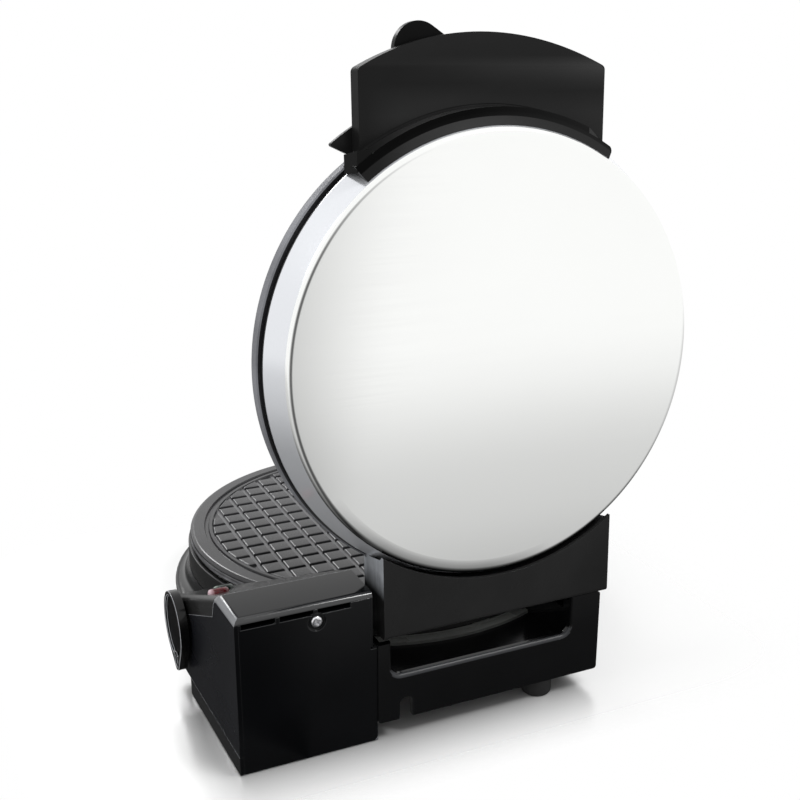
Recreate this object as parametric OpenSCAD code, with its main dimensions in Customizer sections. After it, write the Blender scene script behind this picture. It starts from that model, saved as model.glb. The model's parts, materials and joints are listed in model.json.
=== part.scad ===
// Waffle cone maker with its lid open.
// Millimetres, +Z up, the front faces -Y, and the table is at z = 0.
// Every lid piece is drawn shut, about the plates' axis, and then swung open on the hinge.

/* [Baking plates] */
// Outer radius of both baking plates
plate_r = 100; // [98:0.5:101]
// Height of the lower plate's rim above the table
plate_top_z = 43.5; // [43:0.5:45]
// Height of a plate's rim band
plate_rim_h = 5.7; // [5:0.1:6.5]
// Spacing of the waffle grooves
groove_pitch = 11; // [9:0.5:14]
// Width of a waffle groove
groove_w = 1.6; // [1.2:0.1:2.5]
// Depth of a waffle groove
groove_depth = 1.4; // [0.8:0.1:2]
// Gap between the two rims when the lid is shut
shut_gap = 0.5; // [0.3:0.1:1]

/* [Base] */
// Outer radius of the bowl's lip
bowl_r = 109.3; // [108:0.1:111]
// Height of the bowl's outer lip
lip_z = 15.6; // [15:0.1:17]
// Height of the bowl where the collar stands on it
bowl_z = 25.1; // [24:0.1:26]
// Height of the feet
foot_h = 8.5; // [8:0.1:9]
// Radius of a foot
foot_r = 7.25; // [6:0.25:7.25]
// Wall of the moulded base
base_wall = 2.5; // [2:0.1:3]

/* [Rear frame] */
// Rear face of the frame behind the plate axis
frame_rear_y = 136; // [134:0.5:138]
// Edge of the frame away from the control box
frame_left_x = -54.3; // [-56:0.1:-52]
// Height of the corner post
post_top_z = 48.6; // [46:0.1:49]
// Height of the opening's lower lip
opening_z = 30; // [28:0.5:33]
// Width of the cord notch
notch_w = 6.4; // [6:0.1:8]

/* [Control box] */
// Outer side of the control box at its rear
box_right_x = 119.1; // [117:0.1:121]
// Angle by which the outer side spreads towards the front
box_flare = 2.2; // [1:0.1:3]
// Inner side of the control box
box_left_x = 57.3; // [57:0.1:58]
// Rear face of the control box
box_rear_y = 135.4; // [134:0.1:137]
// Front face of the control box
box_front_y = 45; // [42:0.5:48]
// Height of the flat top
box_top_z = 71.7; // [70:0.1:74]
// Where the flat top gives way to the sloping panel
box_slope_y = 112; // [109:0.5:114]
// Height of the sloping panel at the front
box_front_z = 41.6; // [40:0.1:44]
// Wall of the control box
box_wall = 2.2; // [1.8:0.1:2.6]

/* [Lid] */
// Height of the lid from its plate's face to the steel top
lid_h = 25.2; // [24.5:0.1:26]
// Height of the steel cover's band and top together
cover_h = 13.7; // [13:0.1:14.5]
// Radius of the steel cover at its lower edge
cover_r = 98.4; // [97.6:0.1:98.8]
// Radius of the steel cover's top edge
cover_fillet = 4.4; // [3:0.1:5]
// Half the width of the rear bracket
bracket_half_w = 55.6; // [54:0.1:56]
// Rear edge of the bracket behind the plate axis
bracket_rear_y = 114.7; // [113:0.1:115.5]

/* [Hinge] */
// Hinge axis behind the plate axis
hinge_y = 116.4; // [115.5:0.1:117.5]
// Height of the hinge axis
hinge_z = 47.4; // [46.8:0.1:48]
// Angle through which the lid is open
lid_open = 88; // [0:1:88]
// Radius of the hinge pins
pin_r = 3; // [2.5:0.1:3.5]
// Running clearance round a pin
pin_gap = 0.05; // [0.02:0.01:0.1]

/* [Handle] */
// Half the width of the handle
handle_half_w = 55.5; // [54:0.5:58]
// Distance of the handle's crease in front of the plate axis
crease_y = 116; // [113:0.5:119]
// Reach of the handle in front of the plate axis
handle_reach = 129.7; // [126:0.1:133]
// Height of the handle's top face with the lid shut
handle_top_z = 55; // [54:0.1:56]
// Depth of the handle's shell
handle_depth = 7.2; // [6.5:0.1:8]

/* [Latch and dial] */
// Radius of the latch's thumb tab
tab_r = 10.8; // [10:0.1:12]
// Length of the latch from its pivot to the middle of the tab
tab_len = 26.9; // [25:0.1:28]
// Angle of the swung-out latch from the lid's width
tab_swing = 21; // [18:0.5:24]
// Radius of the dial
dial_r = 16; // [13:0.5:16]
// Thickness of the dial
dial_t = 4.2; // [4:0.1:6]

/* [Hidden] */
$fn = 96;
eps = 0.01;
far = 400;

// Places worked out from the driving sizes
dial_spot = [58.5, 33.4];
dial_gap = 0.9;
dial_x = side_x(dial_spot[0]) + dial_gap;
reach_right = dial_x + dial_t;
face_z = plate_top_z + shut_gap;
lid_top_z = face_z + lid_h;
panel_top_z = lid_top_z + 1.1;
bracket_reach = (bracket_rear_y - hinge_y) * cos(lid_open) + (panel_top_z - hinge_z) * sin(lid_open);
reach_rear = hinge_y + bracket_reach;
mid_x = (reach_right - bowl_r) / 2;
mid_y = (reach_rear - bowl_r) / 2;

// Plate features
rim_w = 7.4;
gutter_w = 2.6;
gutter_depth = 1.2;
field_r = plate_r - rim_w - gutter_w;
plate_t = 6.2;
heater_ring_r = 60;
heater_r = 3.2;
heater_sink = 1.6;

// Base levels and radii
cover_plate_r = 95;
cover_plate_t = 2;
flange_t = 2.5;
collar_in_r = plate_r - 1.4;
collar_out_r = plate_r + 1.3;
collar_top_z = plate_top_z - plate_rim_h - 1.3;
ledge_z = bowl_z + 1.9;
bowl_floor_z = foot_h + cover_plate_t + flange_t;
pan_floor_z = 16;
sheet_t = 0.6;
post_r = 4;
post_ring_r = 76;
post_angles = [30, 150, 270];
foot_spots = [[-58, -66], [58, -66], [-26.2, 128.7]];
pad_spots = [[104, 79], [74, 119]];
pad_t = 1.6;
screw_ring_r = 88;

// Rear frame
frame_right_x = box_left_x;
frame_wall = 3;
right_post_w = 15.3;
left_post_w = 6.3;
shelf_z = 20;
arm_top_z = 40;
arm_front_y = 84;
step_r = 106;
step_z = 24;
left_post_z = 46.3;
notch_x = 44.1;
notch_top_z = 18.8;
ear_w = 8;
knuckle_r = 6.5;
bowl_clear_r = 103;

// Control box
box_hollow_r = bowl_r + 2.2;
box_step_x = 2.1;
tray_z = 0.5;
tray_top_z = 8.9;
tray_front_y = 66;
edge_r = 3.4;
panel_t = 2;
tab_t = 1.6;
slope = (box_top_z - box_front_z) / (box_slope_y - box_front_y);
slope_angle = atan(slope);
rear_cover_t = 2.5;
vent_z = 68.1;
vent_h = 2.4;
vent_w = 14.4;
vent_pitch = 16.3;
vent_x = 109;
cover_screw = [84.1, 63.6];
dial_tip_r = 4.6;
dial_tip_len = 16.6;
dial_lean = 14;
shaft_r = 3;
lens_r = 4.7;
lens_h = 2;
lens_spots = [[112.4, 89], [106, 73]];

// Lid
crown = 0.6;
cover_sheet = 0.8;
ring_in_r = 90.5;
ring_out_r = 97;
plate_back_z = face_z + plate_rim_h + 2.4;
tie_z = plate_back_z + 0.2;
bracket_floor_z = 49.6;
bracket_wall = 2.6;
panel_edge_r = 95.3;
knuckle_spans = [[38, 55.4], [-45.6, -33]];
ear_notch_r = knuckle_r + 1;

// Handle and latch
apron_t = 2.2;
apron_r = 109.4;
apron_end_x = -54;
apron_low_y = -84.2;
fin = [[58, apron_low_y], [66, -88]];
rim_span = 37.5;
rim_r = cover_r + 2.7;
rim_top_z = lid_top_z - 4;
handle_clear_r = plate_r + 0.4;
handle_arc_r = (pow(handle_half_w, 2) + pow(handle_reach - crease_y, 2)) / (2 * (handle_reach - crease_y));
handle_floor_z = handle_top_z - handle_depth;
apron_z = handle_floor_z - apron_t;
pivot = [0, -113.5];
pivot_r = 3;
latch_t = 3.5;
latch_top_z = apron_z - 0.3;
latch_nose_z = latch_top_z - 8;
boss_r = 5.2;
nose_len = 11.8;
nose_r = 2.2;
nose_angle = 216.5;
keeper_x = [-17, -6];
keeper_gap = 0.6;
handle_screw_x = [-40, 46];

// Points of an arc from angle a0 to a1
function arc(c, r, a0, a1, n = 6) =
    [for (i = [0:n]) let (a = a0 + (a1 - a0) * i / n) c + r * [cos(a), sin(a)]];
// Points of a quarter ellipse that starts flat and ends upright
function swell(r0, z0, r1, z1, n = 7) =
    [for (i = [0:n]) let (t = 90 * i / n) [r0 + (r1 - r0) * sin(t), z0 + (z1 - z0) * (1 - cos(t))]];
function reversed(p) = [for (i = [len(p) - 1:-1:0]) p[i]];
// Height of the control box's slope at a given depth
function slope_z(y) = box_top_z - (box_slope_y - y) * slope;
// The control box's outer side at a given depth
function side_x(y) = box_right_x + (box_rear_y - y) * tan(box_flare);

module in_frame() { translate([-mid_x, -mid_y, 0]) children(); }
module lid_pose() {
    in_frame() translate([0, hinge_y, hinge_z]) rotate([-lid_open, 0, 0])
        translate([0, -hinge_y, -hinge_z]) children();
}
// Extrudes a (y, z) outline along X
module along_x(x0, x1) { translate([x0, 0, 0]) rotate([90, 0, 90]) linear_extrude(x1 - x0) children(); }
// Extrudes an (x, z) outline along Y
module along_y(y0, y1) { translate([0, y1, 0]) rotate([90, 0, 0]) linear_extrude(y1 - y0) children(); }
// A cylinder on the hinge axis
module on_hinge(x0, x1, r) {
    translate([x0, hinge_y, hinge_z]) rotate([0, 90, 0]) cylinder(h = x1 - x0, r = r);
}
module box3(a, b) { translate(a) cube(b - a); }
// Two round ends joined by their tangents
module pear2d(r1, r2, len) {
    a = acos((r1 - r2) / len);
    polygon(concat(arc([0, 0], r1, a, 360 - a, 36), arc([len, 0], r2, -a, a, 16)));
}
module round_square(w, h, r) {
    translate([r, 0]) square([w - 2 * r, h]);
    translate([0, r]) square([w, h - 2 * r]);
    for (x = [r, w - r], y = [r, h - r]) translate([x, y]) circle(r);
}

// Waffle grooves, cut down from z = 0
module waffle_grooves() {
    n = floor(field_r / groove_pitch);
    intersection() {
        translate([0, 0, -groove_depth]) cylinder(h = groove_depth + 1, r = field_r - 1.6);
        for (i = [-n:n], turn = [0, 90])
            rotate([0, 0, turn]) translate([i * groove_pitch - groove_w / 2, -plate_r, -groove_depth])
                cube([groove_w, 2 * plate_r, groove_depth + 1]);
    }
}
// A baking plate with its face up at z = 0
module baking_plate(band_h) {
    back = -max(band_h, plate_t);
    difference() {
        rotate_extrude() difference() {
            polygon(concat([[0, back], [plate_r - 7, back], [plate_r - 5, -band_h], [plate_r, -band_h]],
                arc([plate_r - 3, -2.6], 3, 0, 60), [[plate_r - 3, 0], [field_r + gutter_w, 0]],
                [[field_r + gutter_w - 0.5, -gutter_depth], [field_r + 0.5, -gutter_depth], [field_r, -0.2],
                [0, -0.2]]));
            translate([heater_ring_r, back - heater_r + heater_sink]) circle(heater_r);
        }
        waffle_grooves();
    }
}
// A tubular heater whose ring lies at z = 0, with its ends turned down
module tube_heater(leg) {
    open = 36;
    rotate([0, 0, 90 + open / 2]) rotate_extrude(angle = 360 - open)
        translate([heater_ring_r, 0]) circle(heater_r);
    for (s = [-1, 1]) rotate([0, 0, 90 + s * open / 2]) translate([heater_ring_r, 0, 0]) {
        sphere(heater_r);
        translate([0, 0, -leg]) cylinder(h = leg, r = heater_r);
    }
}
// A pan-head screw, head up, with its seat at z = 0
module pan_screw(head_r, head_h, shank_r, shank_l) {
    difference() {
        rotate_extrude() polygon(concat([[0, -shank_l], [shank_r, -shank_l], [shank_r, 0], [head_r, 0]],
            arc([head_r - head_h * 0.7, head_h * 0.3], head_h * 0.7, 0, 90, 4), [[0, head_h]]));
        for (t = [0, 90]) rotate([0, 0, t]) translate([-head_r * 0.6, -head_r * 0.12, head_h * 0.45])
            cube([head_r * 1.2, head_r * 0.24, head_h]);
    }
}

// The bowl's own section
module bowl() {
    rotate_extrude() polygon(concat([[cover_plate_r + 0.3, foot_h]],
        swell(cover_plate_r + 2, foot_h, bowl_r, lip_z - 2),
        arc([bowl_r - 1, lip_z - 1], 1, 0, 90, 3), swell(bowl_r - 1.6, lip_z, collar_out_r + 0.3, bowl_z),
        [[collar_in_r - 0.6, bowl_z], [collar_in_r - 0.6, bowl_z - base_wall]],
        reversed(swell(bowl_r - 4.2, bowl_floor_z, collar_in_r + 0.4, bowl_z - base_wall)),
        [[cover_plate_r - 11, bowl_floor_z], [cover_plate_r - 11, foot_h + cover_plate_t],
        [cover_plate_r + 0.3, foot_h + cover_plate_t]]));
}
module bowl_inside() {
    rotate_extrude() polygon(concat([[0, 0], [cover_plate_r + 2, 0], [cover_plate_r + 2, bowl_floor_z]],
        swell(bowl_r - 4.2, bowl_floor_z, collar_in_r + 0.4, bowl_z - base_wall),
        [[collar_in_r + 0.4, bowl_z - 1], [bowl_clear_r, bowl_z - 1], [bowl_clear_r, far], [0, far]]));
}
module rear_wall_2d() {
    difference() {
        translate([frame_left_x, foot_h])
            round_square(frame_right_x - frame_left_x, post_top_z - foot_h, 1.5);
        translate([frame_left_x + right_post_w, opening_z])
            round_square(frame_right_x - frame_left_x - right_post_w - left_post_w, 60, 5);
        translate([frame_right_x - left_post_w - eps, left_post_z]) square([20, 20]);
        translate([notch_x - notch_w / 2, 0]) square([notch_w, notch_top_z - notch_w / 2]);
        translate([notch_x, notch_top_z - notch_w / 2]) circle(notch_w / 2);
    }
}
module base_housing() {
    wall_y = frame_rear_y - frame_wall;
    color([0.06, 0.06, 0.07]) in_frame() difference() {
        union() {
            bowl();
            along_y(wall_y, frame_rear_y) rear_wall_2d();
            difference() {
                union() {
                    box3([frame_left_x, arm_front_y, shelf_z],
                        [frame_left_x + right_post_w, wall_y + eps, arm_top_z]);
                    box3([frame_left_x, arm_front_y, foot_h],
                        [frame_left_x + base_wall, wall_y + eps, shelf_z + eps]);
                    box3([frame_right_x - left_post_w, arm_front_y, shelf_z],
                        [frame_right_x, wall_y + eps, arm_top_z]);
                    box3([frame_right_x - base_wall, arm_front_y, foot_h],
                        [frame_right_x, wall_y + eps, shelf_z + eps]);
                    box3([frame_left_x, arm_front_y, shelf_z],
                        [frame_right_x, wall_y + eps, shelf_z + base_wall]);
                    translate([foot_spots[2][0], foot_spots[2][1], foot_h])
                        cylinder(h = shelf_z - foot_h + 1, r = foot_r);
                    intersection() {
                        cylinder(h = step_z, r = step_r);
                        box3([frame_left_x, arm_front_y, shelf_z], [frame_right_x, wall_y, far]);
                    }
                    box3([keeper_x[0] - 1, -bowl_r + 3, lip_z - 1], [keeper_x[1] + 1, -collar_out_r, bowl_z]);
                    box3([frame_left_x, wall_y - 4, arm_top_z - 1],
                        [frame_left_x + right_post_w, wall_y + eps, post_top_z]);
                    box3([frame_left_x, hinge_y - knuckle_r, arm_top_z - 1],
                        [frame_left_x + ear_w, hinge_y + knuckle_r, hinge_z]);
                    on_hinge(frame_left_x, frame_left_x + ear_w, knuckle_r);
                }
                bowl_inside();
            }
        }
        on_hinge(frame_left_x - 1, frame_left_x + ear_w + 1, pin_r);
    }
}
module base_collar() {
    color([0.10, 0.10, 0.11]) in_frame() rotate_extrude() polygon(concat(
        [[collar_in_r - 3.6, bowl_z], [collar_out_r, bowl_z]],
        arc([collar_out_r - 0.5, collar_top_z - 0.5], 0.5, 0, 90, 3),
        [[collar_in_r, collar_top_z], [collar_in_r, ledge_z], [collar_in_r - 3.6, ledge_z]]));
}
module bottom_cover() {
    color([0.05, 0.05, 0.05]) in_frame() difference() {
        translate([0, 0, foot_h]) cylinder(h = cover_plate_t, r = cover_plate_r);
        for (i = [0:5], ring = [40, 56]) rotate([0, 0, i * 60 + 30]) translate([ring, -12, 0])
            cube([5, 24, foot_h + 10]);
        for (a = [0:90:270]) rotate([0, 0, a]) translate([screw_ring_r, 0, 0]) cylinder(h = 20, r = 1.6);
    }
}
module feet() {
    color([0.08, 0.08, 0.08]) in_frame() for (p = foot_spots) translate(p)
        rotate_extrude() polygon(concat([[0, 0]], arc([foot_r - 1.6, 1.2], 1.2, -90, 0, 3),
            [[foot_r, foot_h], [0, foot_h]]));
}
module tray_pads() {
    color([0.08, 0.08, 0.08]) in_frame() for (p = pad_spots) translate(p) cylinder(h = pad_t, r = 6);
}
module bottom_screws() {
    color([0.6, 0.6, 0.62]) in_frame() for (a = [0:90:270])
        rotate([0, 0, a]) translate([screw_ring_r, 0, foot_h]) rotate([180, 0, 0])
            pan_screw(3.2, 2, 1.4, 1.8);
}

module lower_grid_plate() {
    color([0.2, 0.2, 0.21]) in_frame() translate([0, 0, plate_top_z]) baking_plate(plate_rim_h);
}
module lower_heater() {
    z = plate_top_z - plate_t - heater_r + heater_sink;
    color([0.45, 0.43, 0.4]) in_frame() translate([0, 0, z]) tube_heater(10);
}
module lower_reflector() {
    color([0.75, 0.75, 0.76]) in_frame() difference() {
        rotate_extrude() polygon([[0, pan_floor_z], [88, pan_floor_z], [collar_in_r - 6, ledge_z],
            [collar_in_r - 0.2, ledge_z], [collar_in_r - 0.2, ledge_z + sheet_t],
            [collar_in_r - 6 - sheet_t, ledge_z + sheet_t], [88 - sheet_t, pan_floor_z + sheet_t],
            [0, pan_floor_z + sheet_t]]);
        for (a = post_angles) rotate([0, 0, a]) translate([post_ring_r, 0, 0]) cylinder(h = 60, r = post_r);
    }
}
module plate_posts() {
    z0 = foot_h + cover_plate_t;
    color([0.7, 0.7, 0.7]) in_frame() for (a = post_angles) rotate([0, 0, a]) translate([post_ring_r, 0, z0])
        cylinder(h = plate_top_z - plate_t - z0, r = post_r);
}

// Plan of the control box, hollowed round the bowl, with its outer side moved out by spread
module box_plan(inset, spread) {
    y0 = box_front_y + inset;
    difference() {
        polygon([[box_left_x + inset, y0], [side_x(y0) - inset + spread, y0],
            [side_x(box_rear_y) - inset + spread, box_rear_y], [box_left_x + inset, box_rear_y]]);
        circle(box_hollow_r + inset);
    }
}
// Puts the outer side of the control box at x = 0 and its rear at y = 0
module by_side() { translate([box_right_x, box_rear_y, 0]) rotate([0, 0, box_flare]) children(); }
// The box's rounded outer edge, its top at z = 0, drawn along the side, and wider below the edge by spread
module side_edge(inset, spread) {
    along_y(-far, far) polygon(concat([[-far, -far], [spread - inset, -far]],
        spread > 0 ? [[spread - inset, -edge_r]] : [],
        arc([-inset - edge_r, -edge_r], edge_r, 0, 90), [[-far, 0]]));
}
// The control box filled in: its plan, its side profile and its rounded shoulders together
module box_form(inset, drop, z0) {
    top = box_top_z - inset;
    step_x = box_left_x + box_step_x + inset;
    intersection() {
        translate([0, 0, z0]) linear_extrude(box_top_z) box_plan(inset, 20);
        along_x(0, far) polygon(concat([[box_front_y, 0], [box_rear_y, 0]],
            arc([box_rear_y - 3, top - 3], 3, 0, 90), [[box_slope_y - drop / 3, top]],
            [[box_front_y, box_front_z - drop]]));
        along_y(0, far) polygon([[0, 0], [far, 0], [far, far], [step_x, far], [step_x, left_post_z],
            [0, left_post_z]]);
        by_side() translate([0, 0, top]) side_edge(inset, 0);
        by_side() translate([0, box_slope_y - box_rear_y, box_top_z - drop]) rotate([slope_angle, 0, 0])
            side_edge(inset, 30);
    }
}
// Where the control panel lies on the box
module panel_zone() {
    y0 = box_front_y + 1;
    y1 = box_slope_y - 2.4;
    along_x(0, far) polygon([[y0, slope_z(y0) - 3], [58, slope_z(58) - 3], [66, slope_z(66) - 9.5],
        [y1 - 3, slope_z(y1 - 3) - 9.5], [y1, slope_z(y1) - 3], [y1, far], [y0, far]]);
}
module panel_form(gap) {
    y1 = box_slope_y + 20;
    intersection() {
        difference() {
            box_form(0, 0, tray_top_z);
            intersection() {
                translate([0, 0, -panel_t - gap]) along_x(0, far)
                    polygon([[0, -far], [y1, -far], [y1, slope_z(y1)], [0, slope_z(0)]]);
                by_side() box3([-far, -far, -far], [-tab_t - gap, far, far]);
            }
        }
        panel_zone();
    }
}
module rear_cover_form() {
    x0 = box_left_x;
    x1 = box_left_x + box_step_x + 0.9;
    x2 = box_right_x - 1.8;
    z2 = box_top_z - 2.4;
    along_y(box_rear_y - rear_cover_t, box_rear_y + 1) polygon(concat(
        arc([x0 + 2, tray_z + 2], 2, 180, 270, 4), [[x2, tray_z], [x2, z2], [x1, z2], [x1, left_post_z - 1]],
        [[x0, left_post_z - 1]]));
}
module control_housing() {
    color([0.04, 0.04, 0.045]) in_frame() difference() {
        box_form(0, 0, tray_top_z);
        difference() {
            box_form(box_wall, 4.8, tray_top_z - 1);
            box3([0, 0, 0], [far, tray_front_y + box_wall, tray_top_z + box_wall]);
            on_hinge(box_left_x, box_left_x + 15, knuckle_r);
        }
        panel_form(0.05);
        rear_cover_form();
        on_hinge(box_left_x - 1, box_left_x + 20, pin_r);
        shaft_hole();
        for (p = lens_spots) lens_hole(p);
    }
}
module shaft_hole() {
    translate([dial_x - 12, dial_spot[0], dial_spot[1]]) rotate([0, 90, 0])
        cylinder(h = 20, r = shaft_r + 0.3);
}
module lens_seat(p) { translate([p[0], p[1], slope_z(p[1])]) rotate([slope_angle, 0, 0]) children(); }
module lens_hole(p) { lens_seat(p) translate([0, 0, -8]) cylinder(h = 20, r = lens_r - 1); }
module control_tray() {
    color([0.035, 0.035, 0.04]) in_frame() difference() {
        tray_block(0, tray_z, tray_top_z);
        tray_block(box_wall, tray_z + box_wall, tray_top_z + 1);
        rear_cover_form();
        for (p = pad_spots) translate(p) cylinder(h = pad_t, r = 6);
    }
}
module tray_block(inset, z0, z1) {
    translate([0, 0, z0]) linear_extrude(z1 - z0) intersection() {
        box_plan(inset, 0);
        translate([0, tray_front_y + inset]) square([far, far]);
    }
}
module control_rear_cover() {
    color([0.03, 0.03, 0.035]) in_frame() difference() {
        intersection() {
            rear_cover_form();
            box3([0, 0, 0], [far, box_rear_y, far]);
        }
        for (i = [0:2]) translate([vent_x - i * vent_pitch - vent_w / 2, 0, vent_z - vent_h / 2])
            cube([vent_w, far, vent_h]);
        translate([cover_screw[0], box_rear_y - 1.2, cover_screw[1]]) rotate([-90, 0, 0])
            cylinder(h = 5, r = 4);
        translate([cover_screw[0], 0, cover_screw[1]]) rotate([-90, 0, 0]) cylinder(h = far, r = 1.6);
    }
}
module rear_cover_screw() {
    color([0.75, 0.75, 0.77]) in_frame() translate([cover_screw[0], box_rear_y - 1.2, cover_screw[1]])
        rotate([-90, 20, 0]) pan_screw(2.6, 1.7, 1.5, 6);
}
module control_panel() {
    color([0.07, 0.07, 0.075]) in_frame() difference() {
        panel_form(0);
        shaft_hole();
        for (p = lens_spots) lens_seat(p) translate([0, 0, -8]) cylinder(h = 20, r = lens_r);
    }
}
module indicator_lens(p) {
    in_frame() lens_seat(p) rotate_extrude() polygon(concat([[0, -panel_t * cos(slope_angle)]],
        [[lens_r, -panel_t * cos(slope_angle)]], arc([lens_r - lens_h + 0.3, 0.3], lens_h - 0.3, 0, 90),
        [[0, lens_h]]));
}
module power_lens() { color([0.75, 0.05, 0.06]) indicator_lens(lens_spots[0]); }
module ready_lens() { color([0.75, 0.78, 0.75]) indicator_lens(lens_spots[1]); }
module thermostat() {
    y = dial_spot[0];
    z = dial_spot[1];
    x = side_x(y + 16) - box_wall - 0.1;
    color([0.55, 0.5, 0.42]) in_frame() {
        box3([x - 11, y - 4, z - 12], [x, y + 16, z + 3.4]);
        translate([x - 6, y, z]) rotate([0, 90, 0]) cylinder(h = dial_x + dial_t - 2 - x + 6, r = shaft_r);
    }
}
module terminal_block() {
    z0 = tray_z + box_wall;
    color([0.85, 0.83, 0.78]) in_frame() difference() {
        box3([72, 104, z0], [104, 118, z0 + 16]);
        for (i = [0:3]) translate([76 + i * 8, 100, z0 + 7]) cube([4, 22, 20]);
    }
}

module hinge_tube() {
    color([0.7, 0.7, 0.72]) in_frame() difference() {
        on_hinge(knuckle_spans[0][0] + 1, box_left_x + 15, pin_r);
        on_hinge(0, far, pin_r - 1);
    }
}
module hinge_pin() {
    color([0.7, 0.7, 0.72]) in_frame() on_hinge(frame_left_x, knuckle_spans[1][1] - 0.5, pin_r);
}
module lid_lead() {
    color([0.85, 0.82, 0.75]) in_frame() on_hinge(knuckle_spans[0][0] - 8, box_left_x + 20, pin_r - 1);
}
module latch_keeper() {
    under = latch_nose_z + latch_t + keeper_gap;
    top = apron_z - 0.8;
    color([0.06, 0.06, 0.07]) in_frame() along_x(keeper_x[0], keeper_x[1]) polygon([
        [-collar_out_r - 1, bowl_z], [-bowl_r + 4, bowl_z], [-bowl_r + 4, under], [-bowl_r, under],
        [-bowl_r, top - 1], [-bowl_r + 1, top], [-collar_out_r - 1, top]]);
}

// Outer line of the steel cover from its lower edge to its middle, grown by a margin
function cover_line(grow) = let (edge = cover_r - 1.5, z0 = lid_top_z - cover_h) concat(
    [[cover_r + grow, z0], [cover_r + grow, z0 + 1]],
    arc([edge - cover_fillet, lid_top_z - cover_fillet], cover_fillet + grow, 0, 90, 8),
    [[60, lid_top_z + crown * 0.6 + grow], [0, lid_top_z + crown + grow]]);
module lid_cover() {
    color([0.86, 0.86, 0.87]) lid_pose() rotate_extrude($fn = 128)
        polygon(concat(cover_line(0), reversed(cover_line(-cover_sheet))));
}
module lid_ring() {
    color([0.03, 0.03, 0.03]) lid_pose() translate([0, 0, plate_back_z]) difference() {
        cylinder(h = lid_top_z - cover_h - plate_back_z, r = ring_out_r);
        translate([0, 0, -1]) cylinder(h = 20, r = ring_in_r);
    }
    color([0.03, 0.03, 0.03]) lid_pose() translate([0, 0, lid_top_z - cover_h - 1.2]) difference() {
        cylinder(h = 1.2, r = cover_r);
        translate([0, 0, -1]) cylinder(h = 20, r = ring_out_r - eps);
    }
}
module upper_grid_plate() {
    color([0.22, 0.22, 0.23]) lid_pose() translate([0, 0, face_z]) rotate([180, 0, 0])
        baking_plate(plate_rim_h + 2.4);
}
module upper_heater() {
    z = plate_back_z + heater_r - heater_sink;
    color([0.45, 0.43, 0.4]) lid_pose() translate([0, 0, z]) rotate([180, 0, 0]) tube_heater(6);
}
module upper_reflector() {
    top = plate_back_z + 11;
    color([0.75, 0.75, 0.76]) lid_pose() rotate_extrude() polygon([[ring_in_r - 0.2, plate_back_z],
        [ring_in_r - 0.2, plate_back_z + sheet_t], [84, plate_back_z + sheet_t], [80, top], [0, top],
        [0, top - sheet_t], [80 - sheet_t, top - sheet_t], [84 - sheet_t, plate_back_z]]);
}

// Plan of the rear bracket between the lid's edge and the hinge
module bracket_plan(inset, r) {
    difference() {
        translate([-bracket_half_w + inset, 70])
            square([2 * (bracket_half_w - inset), bracket_rear_y - 70 - inset]);
        circle(r);
    }
}
// A hinge knuckle and the block that ties it to the bracket
module knuckle(s) {
    on_hinge(s[0], s[1], knuckle_r);
    box3([s[0], hinge_y - knuckle_r, hinge_z], [s[1], hinge_y, bracket_floor_z + 7]);
}
module rear_bracket() {
    edge = 2;
    color([0.07, 0.07, 0.07]) lid_pose() difference() {
        union() {
            intersection() {
                translate([0, 0, bracket_floor_z]) linear_extrude(far) bracket_plan(0, panel_edge_r);
                along_x(-far, far) polygon(concat([[0, 0], [bracket_rear_y, 0]],
                    arc([bracket_rear_y - edge, panel_top_z - edge], edge, 0, 90), [[0, panel_top_z]]));
                difference() {
                    box3([-far, -far, 0], [far, far, far]);
                    rotate_extrude() polygon(concat([[0, 0], [handle_clear_r, 0],
                        [handle_clear_r, plate_back_z], [cover_r + 0.3, plate_back_z]], cover_line(0.25)));
                }
            }
            intersection() {
                translate([0, 0, tie_z]) linear_extrude(1.9) difference() {
                    translate([-bracket_half_w, 70]) square([2 * bracket_half_w, 40]);
                    circle(ring_out_r);
                }
                cylinder(h = far, r = cover_r + 4);
            }
            for (s = knuckle_spans) knuckle(s);
        }
        difference() {
            linear_extrude(panel_top_z - bracket_wall)
                bracket_plan(bracket_wall, cover_r + 0.3 + bracket_wall);
            for (s = knuckle_spans) knuckle(s);
        }
        on_hinge(-far, far, pin_r + pin_gap);
        on_hinge(-far, knuckle_spans[1][0], ear_notch_r);
    }
}

// Plan of the handle between a circle round the lid and its bowed front
module handle_plan(inset, r) {
    difference() {
        intersection() {
            translate([-handle_half_w + inset, -far]) square([2 * (handle_half_w - inset), far - 70]);
            translate([0, handle_arc_r - handle_reach]) circle(handle_arc_r - inset);
        }
        circle(r);
    }
}
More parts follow.
